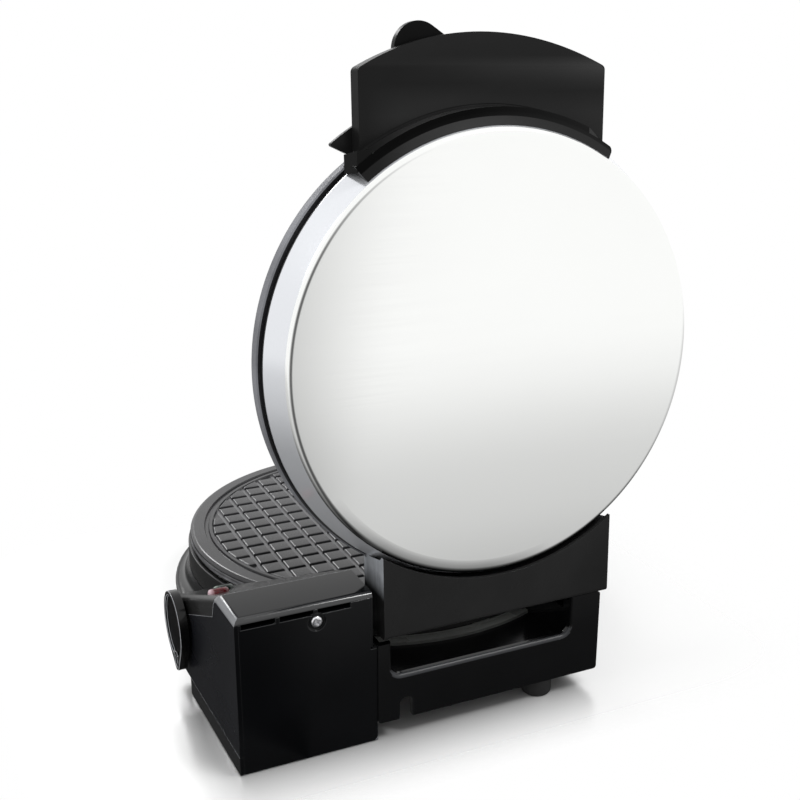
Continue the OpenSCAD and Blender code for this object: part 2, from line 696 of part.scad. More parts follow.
// The room the lid's round body takes up, with its clearance
module lid_room() {
    rotate_extrude() polygon([[0, 0], [handle_clear_r, 0], [handle_clear_r, tie_z], [cover_r + 0.35, tie_z],
        [cover_r + 0.35, far], [0, far]]);
}
module handle_profile(drop) {
    fall = 4.6;
    polygon([[-60, handle_floor_z - 1], [-60, handle_top_z - drop], [-crease_y, handle_top_z - drop],
        [-handle_reach - 1, handle_top_z - fall - drop], [-handle_reach - 1, handle_floor_z - 1]]);
}
module handle_visor() {
    wall = 2.2;
    root_w = 50;
    color([0.06, 0.06, 0.065]) lid_pose() {
        difference() {
            intersection() {
                translate([0, 0, handle_floor_z]) linear_extrude(far) handle_plan(0, cover_r);
                along_x(-far, far) handle_profile(0);
            }
            intersection() {
                translate([0, 0, handle_floor_z - 1]) linear_extrude(far)
                    handle_plan(wall, handle_clear_r + wall);
                along_x(-far, far) handle_profile(wall);
            }
            lid_room();
        }
        difference() {
            intersection() {
                translate([0, 0, tie_z]) cylinder(h = 1.9, r = handle_clear_r + 3);
                box3([-root_w, -far, 0], [root_w, 0, far]);
            }
            cylinder(h = far, r = ring_out_r);
        }
        difference() {
            rotate([0, 0, -90 - rim_span]) rotate_extrude(angle = 2 * rim_span)
                translate([ring_out_r, tie_z]) square([rim_r - ring_out_r, rim_top_z - tie_z]);
            lid_room();
        }
    }
}
module handle_apron() {
    color([0.05, 0.05, 0.055]) lid_pose() difference() {
        translate([0, 0, apron_z]) linear_extrude(apron_t) {
            handle_plan(1, handle_clear_r + 1);
            difference() {
                intersection() {
                    circle(apron_r);
                    polygon(concat([[apron_end_x, apron_low_y]], fin, [[far, -far], [apron_end_x, -far]]));
                }
                circle(handle_clear_r);
            }
        }
        translate([pivot[0], pivot[1], 0]) cylinder(h = far, r = pivot_r);
        for (x = handle_screw_x) translate([x, -112, 0]) cylinder(h = far, r = 1.6);
    }
}
module handle_screws() {
    color([0.6, 0.6, 0.62]) lid_pose() for (x = handle_screw_x)
        translate([x, -112, apron_z]) rotate([180, 0, 0]) pan_screw(3, 1.8, 1.4, apron_t + 2);
}
module latch_pivot() {
    z0 = latch_nose_z - 0.3;
    color([0.7, 0.7, 0.72]) lid_pose() translate([pivot[0], pivot[1], 0]) {
        translate([0, 0, z0 - 2]) cylinder(h = 2, r = 4.4);
        translate([0, 0, z0 - eps]) cylinder(h = handle_floor_z - z0 + eps, r = pivot_r);
    }
}
module latch() {
    color([0.05, 0.05, 0.055]) lid_pose() translate([pivot[0], pivot[1], 0]) difference() {
        union() {
            translate([0, 0, latch_top_z - latch_t]) rotate([0, 0, -tab_swing]) linear_extrude(latch_t)
                translate([tab_len, 0]) rotate([0, 0, 180]) pear2d(tab_r, boss_r, tab_len);
            translate([0, 0, latch_nose_z + 1])
                cylinder(h = latch_top_z - latch_nose_z - 2, r = boss_r - 0.6);
            translate([0, 0, latch_nose_z]) rotate([0, 0, nose_angle]) linear_extrude(latch_t)
                pear2d(boss_r, nose_r, nose_len);
        }
        cylinder(h = far, r = pivot_r + pin_gap);
    }
}
module dial() {
    color([0.05, 0.05, 0.055]) in_frame() translate([dial_x, dial_spot[0], dial_spot[1]]) rotate([90, 0, 90])
        rotate([0, 0, dial_lean - 90]) difference() {
            linear_extrude(dial_t) pear2d(dial_r, dial_tip_r, dial_tip_len);
            translate([0, 0, dial_t - 1]) cylinder(h = 5, r = dial_r - 1.8);
            translate([dial_tip_len, 0, dial_t - 1]) cylinder(h = 5, r = dial_tip_r - 1.6);
            translate([0, 0, -1]) cylinder(h = dial_t - 0.7, r = shaft_r + pin_gap);
        }
}

base_housing();
base_collar();
bottom_cover();
feet();
tray_pads();
bottom_screws();
lower_grid_plate();
lower_heater();
lower_reflector();
plate_posts();
control_housing();
control_tray();
control_rear_cover();
rear_cover_screw();
control_panel();
power_lens();
ready_lens();
thermostat();
terminal_block();
hinge_tube();
hinge_pin();
lid_lead();
latch_keeper();
lid_cover();
lid_ring();
upper_grid_plate();
upper_heater();
upper_reflector();
rear_bracket();
handle_visor();
handle_apron();
handle_screws();
latch_pivot();
latch();
dial();
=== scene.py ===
"""Dresses a waffle cone maker that stands open on a pale studio floor.

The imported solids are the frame. The pieces that show most are modelled again round it with finer
edges: the steel cover, the two grid plates and the moulded plastic parts. Lid pieces are modelled
shut, about the axis of the plates, and then swung to where the lid stands.
"""

import json
import logging
import math
from dataclasses import dataclass, field
from enum import Enum
from itertools import product
from typing import Any, Callable, Iterable

import bmesh
import bpy
from mathutils import Matrix, Vector


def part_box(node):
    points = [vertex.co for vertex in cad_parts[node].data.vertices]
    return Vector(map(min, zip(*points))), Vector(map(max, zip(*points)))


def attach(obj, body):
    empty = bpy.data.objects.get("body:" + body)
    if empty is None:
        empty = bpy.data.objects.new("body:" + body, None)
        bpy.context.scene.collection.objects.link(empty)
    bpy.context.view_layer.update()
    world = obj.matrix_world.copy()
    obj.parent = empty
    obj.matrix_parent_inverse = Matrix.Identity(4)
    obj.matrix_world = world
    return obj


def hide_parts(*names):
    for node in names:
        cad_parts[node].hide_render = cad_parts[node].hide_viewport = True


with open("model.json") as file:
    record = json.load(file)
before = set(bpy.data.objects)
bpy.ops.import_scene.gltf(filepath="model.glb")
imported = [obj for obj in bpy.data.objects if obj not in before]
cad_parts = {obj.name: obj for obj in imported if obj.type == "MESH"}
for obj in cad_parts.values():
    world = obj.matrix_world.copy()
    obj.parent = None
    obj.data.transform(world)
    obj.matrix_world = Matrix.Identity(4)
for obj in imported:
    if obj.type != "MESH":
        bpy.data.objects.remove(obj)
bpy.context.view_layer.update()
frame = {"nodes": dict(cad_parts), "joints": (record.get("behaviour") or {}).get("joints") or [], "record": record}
LOG = logging.getLogger("waffle_cone_maker")
MM = 0.001
# How close two lengths in millimetres are to count as one, and how squarely a face looks along an axis.
NEAR = 0.05
FACING = 0.9
# Welds of spun shapes and of whole parts, and the slack of a cut, in metres.
WELD = 0.001 * MM
PART_WELD = 0.002 * MM
CUT_GAP = 1e-7
# Steps of a fine and of a bold rounding.
FINE_ROUND = 3
BOLD_ROUND = 5
# A piece's finishes in order: its own is 0, then its rounded edges, then its patches of faces.
EDGE_INDEX = 1
PATCH_INDEX = 2
Colour = tuple[float, float, float, float]
Pair = tuple[float, float]
Triple = tuple[float, float, float]
Mesh = bmesh.types.BMesh
Face = bmesh.types.BMFace
Edge = bmesh.types.BMEdge
FacePick = Callable[[Face], bool]
EdgePick = Callable[[Edge], bool]


class Body(Enum):
    """The rigid bodies of the machine."""

    BASE = "base"
    LID = "lid"
    LATCH = "latch"
    DIAL = "dial"


class Slot(Enum):
    """The record's material slots."""

    SATIN_BLACK = "satin_black"
    GLOSS_BLACK = "gloss_black"
    STAINLESS = "stainless"
    COATED_PLATE = "coated_plate"
    DARK_METAL = "dark_metal"
    BRIGHT_SHEET = "bright_sheet"
    HEATER_TUBE = "heater_tube"
    ZINC = "zinc"
    RUBBER_BLACK = "rubber_black"
    RED_LENS = "red_lens"
    CLEAR_LENS = "clear_lens"
    RESIN = "resin"
    SLEEVE = "sleeve"


class Wire:
    """A shader value whose arithmetic adds Math nodes."""

    def __init__(self, graph: "Graph", socket: bpy.types.NodeSocket) -> None:
        """Keeps the graph and the output socket that carries the value."""
        self.graph = graph
        self.socket = socket

    def _math(self, operation: str, first: Any, second: Any) -> "Wire":
        """Adds a Math node of two values and returns its result."""
        return self.graph.node("ShaderNodeMath", {"operation": operation}, {0: first, 1: second})

    def __add__(self, other: Any) -> "Wire":
        """Returns the sum."""
        return self._math("ADD", self, other)

    def __sub__(self, other: Any) -> "Wire":
        """Returns the difference."""
        return self._math("SUBTRACT", self, other)

    def __rsub__(self, other: Any) -> "Wire":
        """Returns the difference from a plain number."""
        return self._math("SUBTRACT", other, self)

    def __mul__(self, other: Any) -> "Wire":
        """Returns the product."""
        return self._math("MULTIPLY", self, other)

    def __pow__(self, other: Any) -> "Wire":
        """Returns the power."""
        return self._math("POWER", self, other)

    def __rpow__(self, other: Any) -> "Wire":
        """Returns a plain number raised to this value."""
        return self._math("POWER", other, self)

    __radd__ = __add__
    __rmul__ = __mul__


class Graph:
    """A material's node tree, written by short calls."""

    def __init__(self, tree: bpy.types.NodeTree) -> None:
        """Empties the tree and keeps it.

        Args:
            tree: The node tree of a material or a world.
        """
        self.tree = tree
        tree.nodes.clear()

    def node(self, kind: str, settings: dict[str, Any] | None = None, sockets: dict[Any, Any] | None = None,
             out: Any = 0) -> Wire:
        """Adds any node.

        Args:
            kind: The node's type, such as ShaderNodeTexNoise.
            settings: Properties of the node, set first; "stops" holds a ramp's (place, colour) pairs.
            sockets: Values or wires for its inputs, by name or index.
            out: The output to return, by name or index.

        Returns:
            The chosen output as a wire.
        """
        made = self.tree.nodes.new(kind)
        for key, value in (settings or {}).items():
            if key == "stops":
                self._set_stops(made.color_ramp, value)
            else:
                setattr(made, key, value)
        for key, value in (sockets or {}).items():
            if isinstance(value, Wire):
                self.tree.links.new(value.socket, made.inputs[key])
            else:
                made.inputs[key].default_value = value
        return Wire(self, made.outputs[out] if len(made.outputs) else made.inputs[0])

    @staticmethod
    def _set_stops(ramp: bpy.types.ColorRamp, stops: list[tuple[float, Colour]]) -> None:
        """Writes a ramp's stops, adding as many as it needs."""
        while len(ramp.elements) < len(stops):
            ramp.elements.new(1.0)
        for element, (place, colour) in zip(ramp.elements, stops):
            element.position = place
            element.color = colour

    def place(self, stretch: Triple = (1, 1, 1)) -> Wire:
        """Returns Object coordinates, stretched along each axis."""
        spot = self.node("ShaderNodeTexCoord", out="Object")
        return self.node("ShaderNodeMapping", sockets={"Vector": spot, "Scale": stretch})

    def along(self, axis: str) -> Wire:
        """Returns the Object coordinate along X, Y or Z."""
        return self.node("ShaderNodeSeparateXYZ", sockets={0: self.place()}, out=axis)

    def vector(self, operation: str, *values: Any, out: Any = 0) -> Wire:
        """Returns the result of a Vector Math node."""
        return self.node("ShaderNodeVectorMath", {"operation": operation}, dict(enumerate(values)), out)

    def noise(self, per_metre: float, detail: float = 3.0, stretch: Triple = (1, 1, 1)) -> Wire:
        """Returns a cloudy value from 0 to 1, with so many lumps in a metre."""
        return self.node("ShaderNodeTexNoise", sockets={
            "Vector": self.place(stretch), "Scale": per_metre, "Detail": detail})

    def ramp(self, value: Wire, stops: list[tuple[float, Colour]]) -> Wire:
        """Returns a colour picked along a ramp by a value."""
        return self.node("ShaderNodeValToRGB", {"stops": stops}, {"Fac": value})

    def band(self, value: Wire, low: float, high: float, to_low: float = 0.0, to_high: float = 1.0) -> Wire:
        """Returns a value mapped from one range to another and held there."""
        return self.node("ShaderNodeMapRange", {"clamp": True}, {
            0: value, 1: low, 2: high, 3: to_low, 4: to_high})

    def mix(self, factor: Wire, first: Any, second: Any) -> Wire:
        """Returns a blend of two colours."""
        return self.node("ShaderNodeMix", {"data_type": "RGBA"}, {0: factor, 6: first, 7: second}, out=2)

    def clouded(self, clouds: Wire, colour: Colour, dark: float, light: float) -> Wire:
        """Returns a colour that wanders with the clouds between a darker and a lighter shade."""
        return self.mix(self.band(clouds, 0.3, 0.7), shade(colour, dark), shade(colour, light))

    def bump(self, height: Wire, strength: float, depth: float) -> Wire:
        """Returns a normal bent by a height, with its depth in metres."""
        return self.node("ShaderNodeBump", sockets={
            "Height": height, "Strength": strength, "Distance": depth})

    def grained(self, grain: "Grain") -> Wire:
        """Returns a normal bent by a mould's grain."""
        per_metre, depth = grain.value
        return self.bump(self.noise(per_metre, 2.0), 0.5, depth)

    def light_path(self, ray: str) -> Wire:
        """Returns 1 for rays of a kind, such as Is Camera Ray."""
        return self.node("ShaderNodeLightPath", out=ray)

    def surface(self, sockets: dict[str, Any]) -> None:
        """Adds the Principled shader and the output."""
        shader = self.node("ShaderNodeBsdfPrincipled", sockets=sockets)
        self.node("ShaderNodeOutputMaterial", sockets={"Surface": shader})


def grey(level: float) -> Colour:
    """Returns a neutral colour."""
    return (level, level, level, 1.0)


def greys(stops: Iterable[Pair]) -> list[tuple[float, Colour]]:
    """Returns a ramp's stops from pairs of place and grey level."""
    return [(place, grey(level)) for place, level in stops]


def shade(colour: Colour, factor: float) -> Colour:
    """Returns a colour made lighter or darker by a factor."""
    return (colour[0] * factor, colour[1] * factor, colour[2] * factor, 1.0)


@dataclass(frozen=True)
class Finish:
    """A surface finish that makes its material once."""

    name: str

    def material(self) -> bpy.types.Material:
        """Finds the material, or builds it on first use.

        Returns:
            The material.
        """
        found = bpy.data.materials.get(self.name)
        if found is not None:
            return found
        made = bpy.data.materials.new(self.name)
        made.use_nodes = True
        self.paint(Graph(made.node_tree))
        return made

    def paint(self, graph: Graph) -> None:
        """Writes the node tree; each finish has its own."""
        raise NotImplementedError


class Grain(Enum):
    """The moulds' grains: pebbles in a metre, and their depth in metres."""

    GLOSS = (3000.0, 0.0015 * MM)
    FINE = (2600.0, 0.003 * MM)
    PANEL = (2600.0, 0.006 * MM)
    SATIN = (2200.0, 0.012 * MM)
    PLAIN = (2200.0, 0.02 * MM)
    RUBBER = (1600.0, 0.04 * MM)
    WOVEN = (900.0, 0.15 * MM)


@dataclass(frozen=True)
class MouldedPlastic(Finish):
    """Black plastic from a mould, satin or glossy, with a fine grain and faint handling marks."""

    colour: Colour
    roughness: float
    specular: float
    grain: Grain = Grain.PLAIN
    handling: float = 0.06

    def paint(self, graph: Graph) -> None:
        """Writes cloudy colour, smeared gloss and a pebbled grain.

        Args:
            graph: The material's node tree.
        """
        clouds = graph.noise(28.0, 5.0)
        smears = graph.noise(60.0, 4.0, (1.0, 0.35, 1.0))
        tint = graph.clouded(clouds, self.colour, 0.8, 1.25)
        gloss = graph.band(smears, 0.3, 0.75, self.roughness - self.handling, self.roughness + self.handling)
        graph.surface({
            "Base Color": tint, "Roughness": gloss, "Specular IOR Level": self.specular,
            "Normal": graph.grained(self.grain)})


@dataclass(frozen=True)
class ScuffedAndLitPlastic(Finish):
    """Black plastic scuffed grey in upright streaks, shown as painted light above a height and fading into painted
    shade below it.
    """

    colour: Colour
    scuffed_and_lit_colour: Colour
    low: float
    high: float

    def paint(self, graph: Graph) -> None:
        """Writes streaks of scuffed plastic that fade downwards, as painted light above a height and painted shade
        below it.

        Args:
            graph: The material's node tree.
        """
        streaks = graph.noise(700.0, 5.0, (1.0, 1.0, 0.08))
        clouds = graph.noise(90.0, 4.0)
        height = graph.along("Z")
        patchy = graph.band(clouds + streaks, 0.7, 1.25, 0.45, 1.0)
        # painted light and shade: the grey streaks show above a height, where light falls, and fade away below, in
        # the box's shadow
        scuffed_and_lit = graph.band(height, self.low, self.high) * patchy
        graph.surface({
            "Base Color": graph.mix(scuffed_and_lit, self.colour, self.scuffed_and_lit_colour), "Specular IOR Level": 0.2,
            "Roughness": graph.band(streaks, 0.3, 0.7, 0.38, 0.6),
            "Normal": graph.bump(streaks, 0.3, 0.03 * MM)})


@dataclass(frozen=True)
class FoldedPlastic(Finish):
    """Satin black plastic with a painted highlight along a level fold and painted light below it."""

    colour: Colour
    painted_light_colour: Colour
    fold_z: float = 0.2794
    fold_fade: Pair = (0.009, 0.005)
    fold_x: Pair = (-0.062, 0.030)
    lower_z: Pair = (0.262, 0.274)
    lower_x: Pair = (-0.060, 0.055)
    lower_stops: tuple[Pair, ...] = (
        (0.0, 0.4), (0.15, 0.42), (0.4, 0.65), (0.58, 0.9), (0.78, 0.62), (0.9, 0.12))

    def paint(self, graph: Graph) -> None:
        """Writes a painted highlight on the fold, stronger towards one end, and painted light over the lower part.

        Args:
            graph: The material's node tree.
        """
        clouds = graph.noise(28.0, 5.0)
        smears = graph.noise(45.0, 4.0, (0.25, 1.0, 1.0))
        across = graph.along("X")
        height = graph.along("Z")
        rising = graph.band(height, self.fold_z - self.fold_fade[0], self.fold_z)
        falling = graph.band(height, self.fold_z, self.fold_z + self.fold_fade[1], 1.0, 0.0)
        # painted highlight: a soft light streak along the fold
        streak = rising * falling * graph.band(across, *self.fold_x, 1.0, 0.0)
        # painted light over the lower part, fainter towards the ends
        spread = graph.ramp(graph.band(across, *self.lower_x), greys(self.lower_stops))
        lower = graph.band(height, *self.lower_z, 1.0, 0.0) * spread
        light = (streak + lower) * graph.band(smears, 0.3, 0.7, 0.7, 1.1)
        tint = graph.clouded(clouds, self.colour, 0.85, 1.15)
        graph.surface({
            "Base Color": graph.mix(light, tint, self.painted_light_colour), "Specular IOR Level": 0.1,
            "Roughness": graph.band(smears, 0.3, 0.75, 0.22, 0.32),
            "Normal": graph.grained(Grain.SATIN)})


@dataclass(frozen=True)
class RimPlastic(Finish):
    """Dull black plastic of the visor's rim, with painted shade that is deepest on the control box's side of the
    machine.
    """

    colour: Colour
    far: Colour
    fade_x: Pair = (-0.048, 0.004)

    def paint(self, graph: Graph) -> None:
        """Writes painted shade that deepens slowly across the machine towards the control box, over a fine grain.

        Args:
            graph: The material's node tree.
        """
        smears = graph.noise(45.0, 4.0, (0.25, 1.0, 1.0))
        across = graph.along("X")
        # painted shade: the colour darkens towards the control box's side
        share = graph.band(across + (smears - 0.5) * 0.01, *self.fade_x, 1.0, 0.0)
        graph.surface({
            "Base Color": graph.mix(share, self.colour, self.far), "Specular IOR Level": 0.04,
            "Roughness": graph.band(smears, 0.3, 0.75, 0.3, 0.4),
            "Normal": graph.grained(Grain.SATIN)})


@dataclass(frozen=True)
class TurnedMetal(Finish):
    """Metal turned on a lathe about the upright axis, with level streaks."""

    dark: Colour
    light: Colour
    roughness: float

    def paint(self, graph: Graph) -> None:
        """Writes level streaks of dark and light metal.

        Args:
            graph: The material's node tree.
        """
        streaks = graph.noise(1400.0, 4.0, (0.03, 0.03, 1.0))
        patches = graph.noise(60.0, 3.0, (1.0, 1.0, 0.3))
        share = graph.band(streaks * 0.6 + patches * 0.4, 0.38, 0.62)
        graph.surface({
            "Base Color": graph.mix(share, self.dark, self.light), "Metallic": 0.3,
            "Roughness": graph.band(streaks, 0.3, 0.7, self.roughness - 0.06, self.roughness + 0.1),
            "Normal": graph.bump(streaks, 0.3, 0.03 * MM)})


@dataclass(frozen=True)
class PolishedSteel(Finish):
    """Bright stainless sheet with a faint straight brushing."""

    colour: Colour
    roughness: float
    metallic: float = 1.0

    def tint(self, graph: Graph) -> Wire:
        """Returns the slightly cloudy colour of the metal."""
        return graph.mix(graph.noise(14.0, 3.0), shade(self.colour, 0.97), self.colour)

    def paint(self, graph: Graph) -> None:
        """Writes metal with long fine streaks in its gloss.

        Args:
            graph: The material's node tree.
        """
        streaks = graph.noise(900.0, 3.0, (0.02, 1.0, 1.0))
        gloss = graph.band(streaks, 0.2, 0.8, self.roughness - 0.02, self.roughness + 0.03)
        graph.surface({
            "Base Color": self.tint(graph), "Metallic": self.metallic, "Roughness": gloss,
            "Normal": graph.bump(streaks, 0.02, 0.01 * MM)})


@dataclass(frozen=True)
class CoverSteel(PolishedSteel):
    """The cover's stainless face, with painted shade along the part of its edge that rolls off behind the bracket,
    in place of the bracket's dark reflection there.
    """

    centre: Triple = (-0.0089, 0.112, 0.164)
    shade_side: Triple = (0.35, 0.0, -0.937)
    shade_r: Pair = (0.0870, 0.0946)
    shade_turn: Pair = (0.8, 0.96)

    def tint(self, graph: Graph) -> Wire:
        """Paints shade into the metal's colour along that part of its edge.

        Args:
            graph: The material's node tree.

        Returns:
            The colour.
        """
        away = graph.vector("SUBTRACT", graph.place(), self.centre)
        flat = graph.vector("MULTIPLY", away, (1.0, 0.0, 1.0))
        reach = graph.vector("LENGTH", flat, out="Value")
        turn = graph.vector("DOT_PRODUCT", graph.vector("NORMALIZE", flat), self.shade_side, out="Value")
        # painted shade: the edge darkens towards the bracket, standing in for its dark reflection
        painted_shade = graph.band(reach, *self.shade_r) ** 0.6 * graph.band(turn, *self.shade_turn)
        return graph.mix(painted_shade, super().tint(graph), shade(self.colour, 0.1))


@dataclass(frozen=True)
class NonStickCoat(Finish):
    """Dark sprayed coat on a cast plate, with a fine orange peel and sparse bright specks."""

    colour: Colour
    roughness: float

    def paint(self, graph: Graph) -> None:
        """Writes a speckled coat with baked-on clouds.

        Args:
            graph: The material's node tree.
        """
        clouds = graph.noise(22.0, 5.0)
        peel = graph.noise(1500.0, 2.0)
        specks = graph.band(graph.noise(3200.0, 1.0), 0.66, 0.74)
        coat = graph.clouded(clouds, self.colour, 0.75, 1.3)
        tint = graph.mix(specks * 0.35, coat, grey(0.25))
        gloss = graph.band(clouds, 0.3, 0.7, self.roughness - 0.05, self.roughness + 0.07)
        graph.surface({
            "Base Color": tint, "Roughness": gloss, "Specular IOR Level": 0.5,
            "Normal": graph.bump(peel, 0.35, 0.03 * MM)})


@dataclass(frozen=True)
class CastMetal(Finish):
    """Bare or darkened metal with an uneven skin."""

    colour: Colour
    roughness: float
    metallic: float
    skin_per_metre: float = 1100.0
    skin_depth: float = 0.08 * MM

    def paint(self, graph: Graph) -> None:
        """Writes pitted metal whose colour and gloss wander.

        Args:
            graph: The material's node tree.
        """
        clouds = graph.noise(45.0, 5.0)
        pits = graph.noise(self.skin_per_metre, 4.0)
        tint = graph.clouded(clouds, self.colour, 0.7, 1.2)
        gloss = graph.band(pits, 0.3, 0.7, self.roughness - 0.08, self.roughness + 0.1)
        graph.surface({
            "Base Color": tint, "Metallic": self.metallic, "Roughness": gloss,
            "Normal": graph.bump(pits, 0.4, self.skin_depth)})


@dataclass(frozen=True)
class LensPlastic(Finish):
    """Coloured indicator plastic with a moulded pattern inside and a painted glint at one end."""

    colour: Colour
    pale: Colour
    glint_x: Pair
    cells_per_metre: float = 900.0

    def paint(self, graph: Graph) -> None:
        """Writes glossy tinted plastic with darker cells and a painted glint at one end.

        Args:
            graph: The material's node tree.
        """
        cells = graph.node("ShaderNodeTexVoronoi", sockets={
            "Vector": graph.place(), "Scale": self.cells_per_metre}, out="Distance")
        across = graph.along("X")
        tint = graph.mix(graph.band(cells, 0.0, 0.7), self.colour, shade(self.colour, 0.45))
        # painted glint: a pale patch at one end of the lens
        lit = graph.mix(graph.band(across, *self.glint_x), tint, self.pale)
        graph.surface({"Base Color": lit, "Roughness": 0.1, "Specular IOR Level": 0.4})


class Finishes:
    """Every finish of the machine, named for what wears it."""

    BASE = MouldedPlastic("base_plastic", (0.0030, 0.0031, 0.0034, 1.0), 0.13, 0.30, Grain.FINE, 0.04)
    LID = MouldedPlastic("lid_plastic", grey(0.0165), 0.27, 0.10, Grain.SATIN, 0.05)
    BOX = MouldedPlastic("box_plastic", (0.0030, 0.0032, 0.0037, 1.0), 0.08, 0.22, Grain.GLOSS, 0.03)
    # a little lighter than the box's black, with stronger gloss: a painted highlight on rounded edges
    EDGE = MouldedPlastic("edge_highlight_plastic", (0.008, 0.0085, 0.0095, 1.0), 0.12, 0.8, Grain.GLOSS, 0.04)
    # far lighter than the base's black: a painted highlight on the base's rounded edges and on the bead under the
    # rear opening
    BEAD = MouldedPlastic("bead_highlight_plastic", (0.03, 0.031, 0.034, 1.0), 0.36, 0.35, Grain.FINE, 0.04)
    # lighter and bluer than the rest of the box: painted light on the box's outer side
    BOX_SIDE_LIT = MouldedPlastic("box_side_painted_light", (0.0105, 0.0110, 0.0134, 1.0), 0.26, 0.06, Grain.GLOSS, 0.05)
    # near white: painted highlights on the rounded edges of the panel, the dial and its rib, and on the tray's
    # seam
    SEAM_HIGHLIGHT = MouldedPlastic("seam_highlight_plastic", (0.72, 0.74, 0.78, 1.0), 0.3, 0.5, Grain.GLOSS, 0.04)
    # light grey: a painted highlight on the box's outer shoulder
    SHOULDER_HIGHLIGHT = MouldedPlastic("shoulder_painted_highlight", (0.16, 0.165, 0.175, 1.0), 0.2, 0.7, Grain.GLOSS, 0.04)
    CHEEK = MouldedPlastic("visor_side_plastic", grey(0.013), 0.4, 0.02, Grain.SATIN, 0.05)
    # lighter than the base's black: painted light on the bowl's rising skirt
    SKIRT_LIT = MouldedPlastic("skirt_painted_light", (0.012, 0.0122, 0.0125, 1.0), 0.16, 0.55, Grain.FINE, 0.04)
    # grey: painted light on the bowl's back where the rear opening shows it
    BOWL_BACK_LIT = MouldedPlastic("bowl_back_painted_light", (0.15, 0.155, 0.148, 1.0), 0.3, 0.4, Grain.FINE, 0.04)
    # grey scuff streaks, with painted light above the box's height and painted shade below it
    SCUFF_AND_LIGHT = ScuffedAndLitPlastic("scuffed_plastic_painted_light", grey(0.006), (0.42, 0.44, 0.47, 1.0), 0.068, 0.079)
    # painted highlight on the fold and painted light on the lower part
    VISOR = FoldedPlastic("visor_painted_light_plastic", grey(0.0085), grey(0.042))
    LATCH = MouldedPlastic("latch_plastic", grey(0.005), 0.3, 0.06, Grain.SATIN, 0.05)
    # darker and duller than the dial: painted shade on the floor of the dial's hollow
    HOLLOW_SHADE = MouldedPlastic("hollow_painted_shade", grey(0.0018), 0.3, 0.02, Grain.SATIN, 0.05)
    # the darker colour is painted shade, deepest on the control box's side
    RIM = RimPlastic("rim_painted_shade", grey(0.0018), grey(0.0125))
    PANEL = MouldedPlastic("panel_plastic", grey(0.011), 0.2, 0.3, Grain.PANEL, 0.05)
    DIAL = MouldedPlastic("dial_plastic", grey(0.003), 0.09, 0.3, Grain.GLOSS, 0.03)
    # the cover's steel, with painted shade along its lower edge by the bracket
    STEEL = CoverSteel("cover_steel", (0.980, 0.988, 0.972, 1.0), 0.13)
    BAND = PolishedSteel("cover_band_steel", (0.90, 0.918, 0.955, 1.0), 0.18, 0.6)
    COAT = NonStickCoat("plate_coat", (0.022, 0.022, 0.024, 1.0), 0.22)
    # a lighter coat: painted light on one side of the pads and in the grooves
    LIT_COAT = NonStickCoat("plate_coat_painted_light", (0.11, 0.11, 0.115, 1.0), 0.28)
    TURNED = TurnedMetal("plate_band", (0.03, 0.03, 0.033, 1.0), (0.50, 0.50, 0.52, 1.0), 0.3)
    CAST = CastMetal("plate_casting", (0.22, 0.225, 0.245, 1.0), 0.6, 0.15, 1100.0, 0.004 * MM)
    ENAMEL = CastMetal("black_enamel", grey(0.012), 0.36, 0.0, 1400.0, 0.02 * MM)
    SHEET = CastMetal("bright_sheet_metal", grey(0.72), 0.28, 1.0, 600.0, 0.01 * MM)
    TUBE = CastMetal("heater_steel", (0.22, 0.19, 0.17, 1.0), 0.45, 0.9)
    ZINC = CastMetal("screw_zinc", (0.70, 0.70, 0.72, 1.0), 0.22, 1.0, 1800.0, 0.008 * MM)
    RUBBER = MouldedPlastic("foot_rubber", grey(0.016), 0.72, 0.3, Grain.RUBBER)
    # both lenses carry a painted glint at one end
    RED = LensPlastic(
        "red_lens_plastic", (0.24, 0.002, 0.010, 1.0), (0.84, 0.60, 0.66, 1.0), (0.1060, 0.1076))
    GREEN = LensPlastic(
        "green_lens_plastic", (0.010, 0.03, 0.018, 1.0), (0.3, 0.4, 0.33, 1.0), (0.0995, 0.1015))
    RESIN = MouldedPlastic("block_resin", (0.42, 0.36, 0.27, 1.0), 0.6, 0.4)
    SLEEVE = MouldedPlastic("wire_sleeve", (0.55, 0.52, 0.44, 1.0), 0.8, 0.2, Grain.WOVEN)


SLOT_FINISH: dict[Slot, Finish] = {
    Slot.SATIN_BLACK: Finishes.BASE, Slot.GLOSS_BLACK: Finishes.BOX, Slot.STAINLESS: Finishes.STEEL,
    Slot.COATED_PLATE: Finishes.COAT, Slot.DARK_METAL: Finishes.ENAMEL, Slot.BRIGHT_SHEET: Finishes.SHEET,
    Slot.HEATER_TUBE: Finishes.TUBE, Slot.ZINC: Finishes.ZINC, Slot.RUBBER_BLACK: Finishes.RUBBER,
    Slot.RED_LENS: Finishes.RED, Slot.CLEAR_LENS: Finishes.GREEN, Slot.RESIN: Finishes.RESIN,
    Slot.SLEEVE: Finishes.SLEEVE,
}


def joint(name: str) -> dict[str, Any]:
    """Returns a joint of the frame by its name."""
    return next(j for j in frame["joints"] if j["name"] == name)


class Place:
    """Where the lid's hinge and the plates' axis are."""

    def __init__(self) -> None:
        """Reads both from the frame."""
        low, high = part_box("lower_grid_plate")
        self.axis = Vector(((low.x + high.x) / 2, (low.y + high.y) / 2, 0.0))
        hinge = joint("lid_hinge")
        self.hinge = Vector(hinge["pos_m"])
        self.swing = math.radians(max(hinge["range_deg"]))

    def shut(self) -> Matrix:
        """Returns the move from the plates' own axis to the machine with its lid shut."""
        return Matrix.Translation(self.axis)

    def lid(self) -> Matrix:
        """Returns the move from the plates' own axis to the open lid."""
        turn = Matrix.Rotation(-self.swing, 4, "X")
        return Matrix.Translation(self.hinge) @ turn @ Matrix.Translation(-self.hinge) @ self.shut()


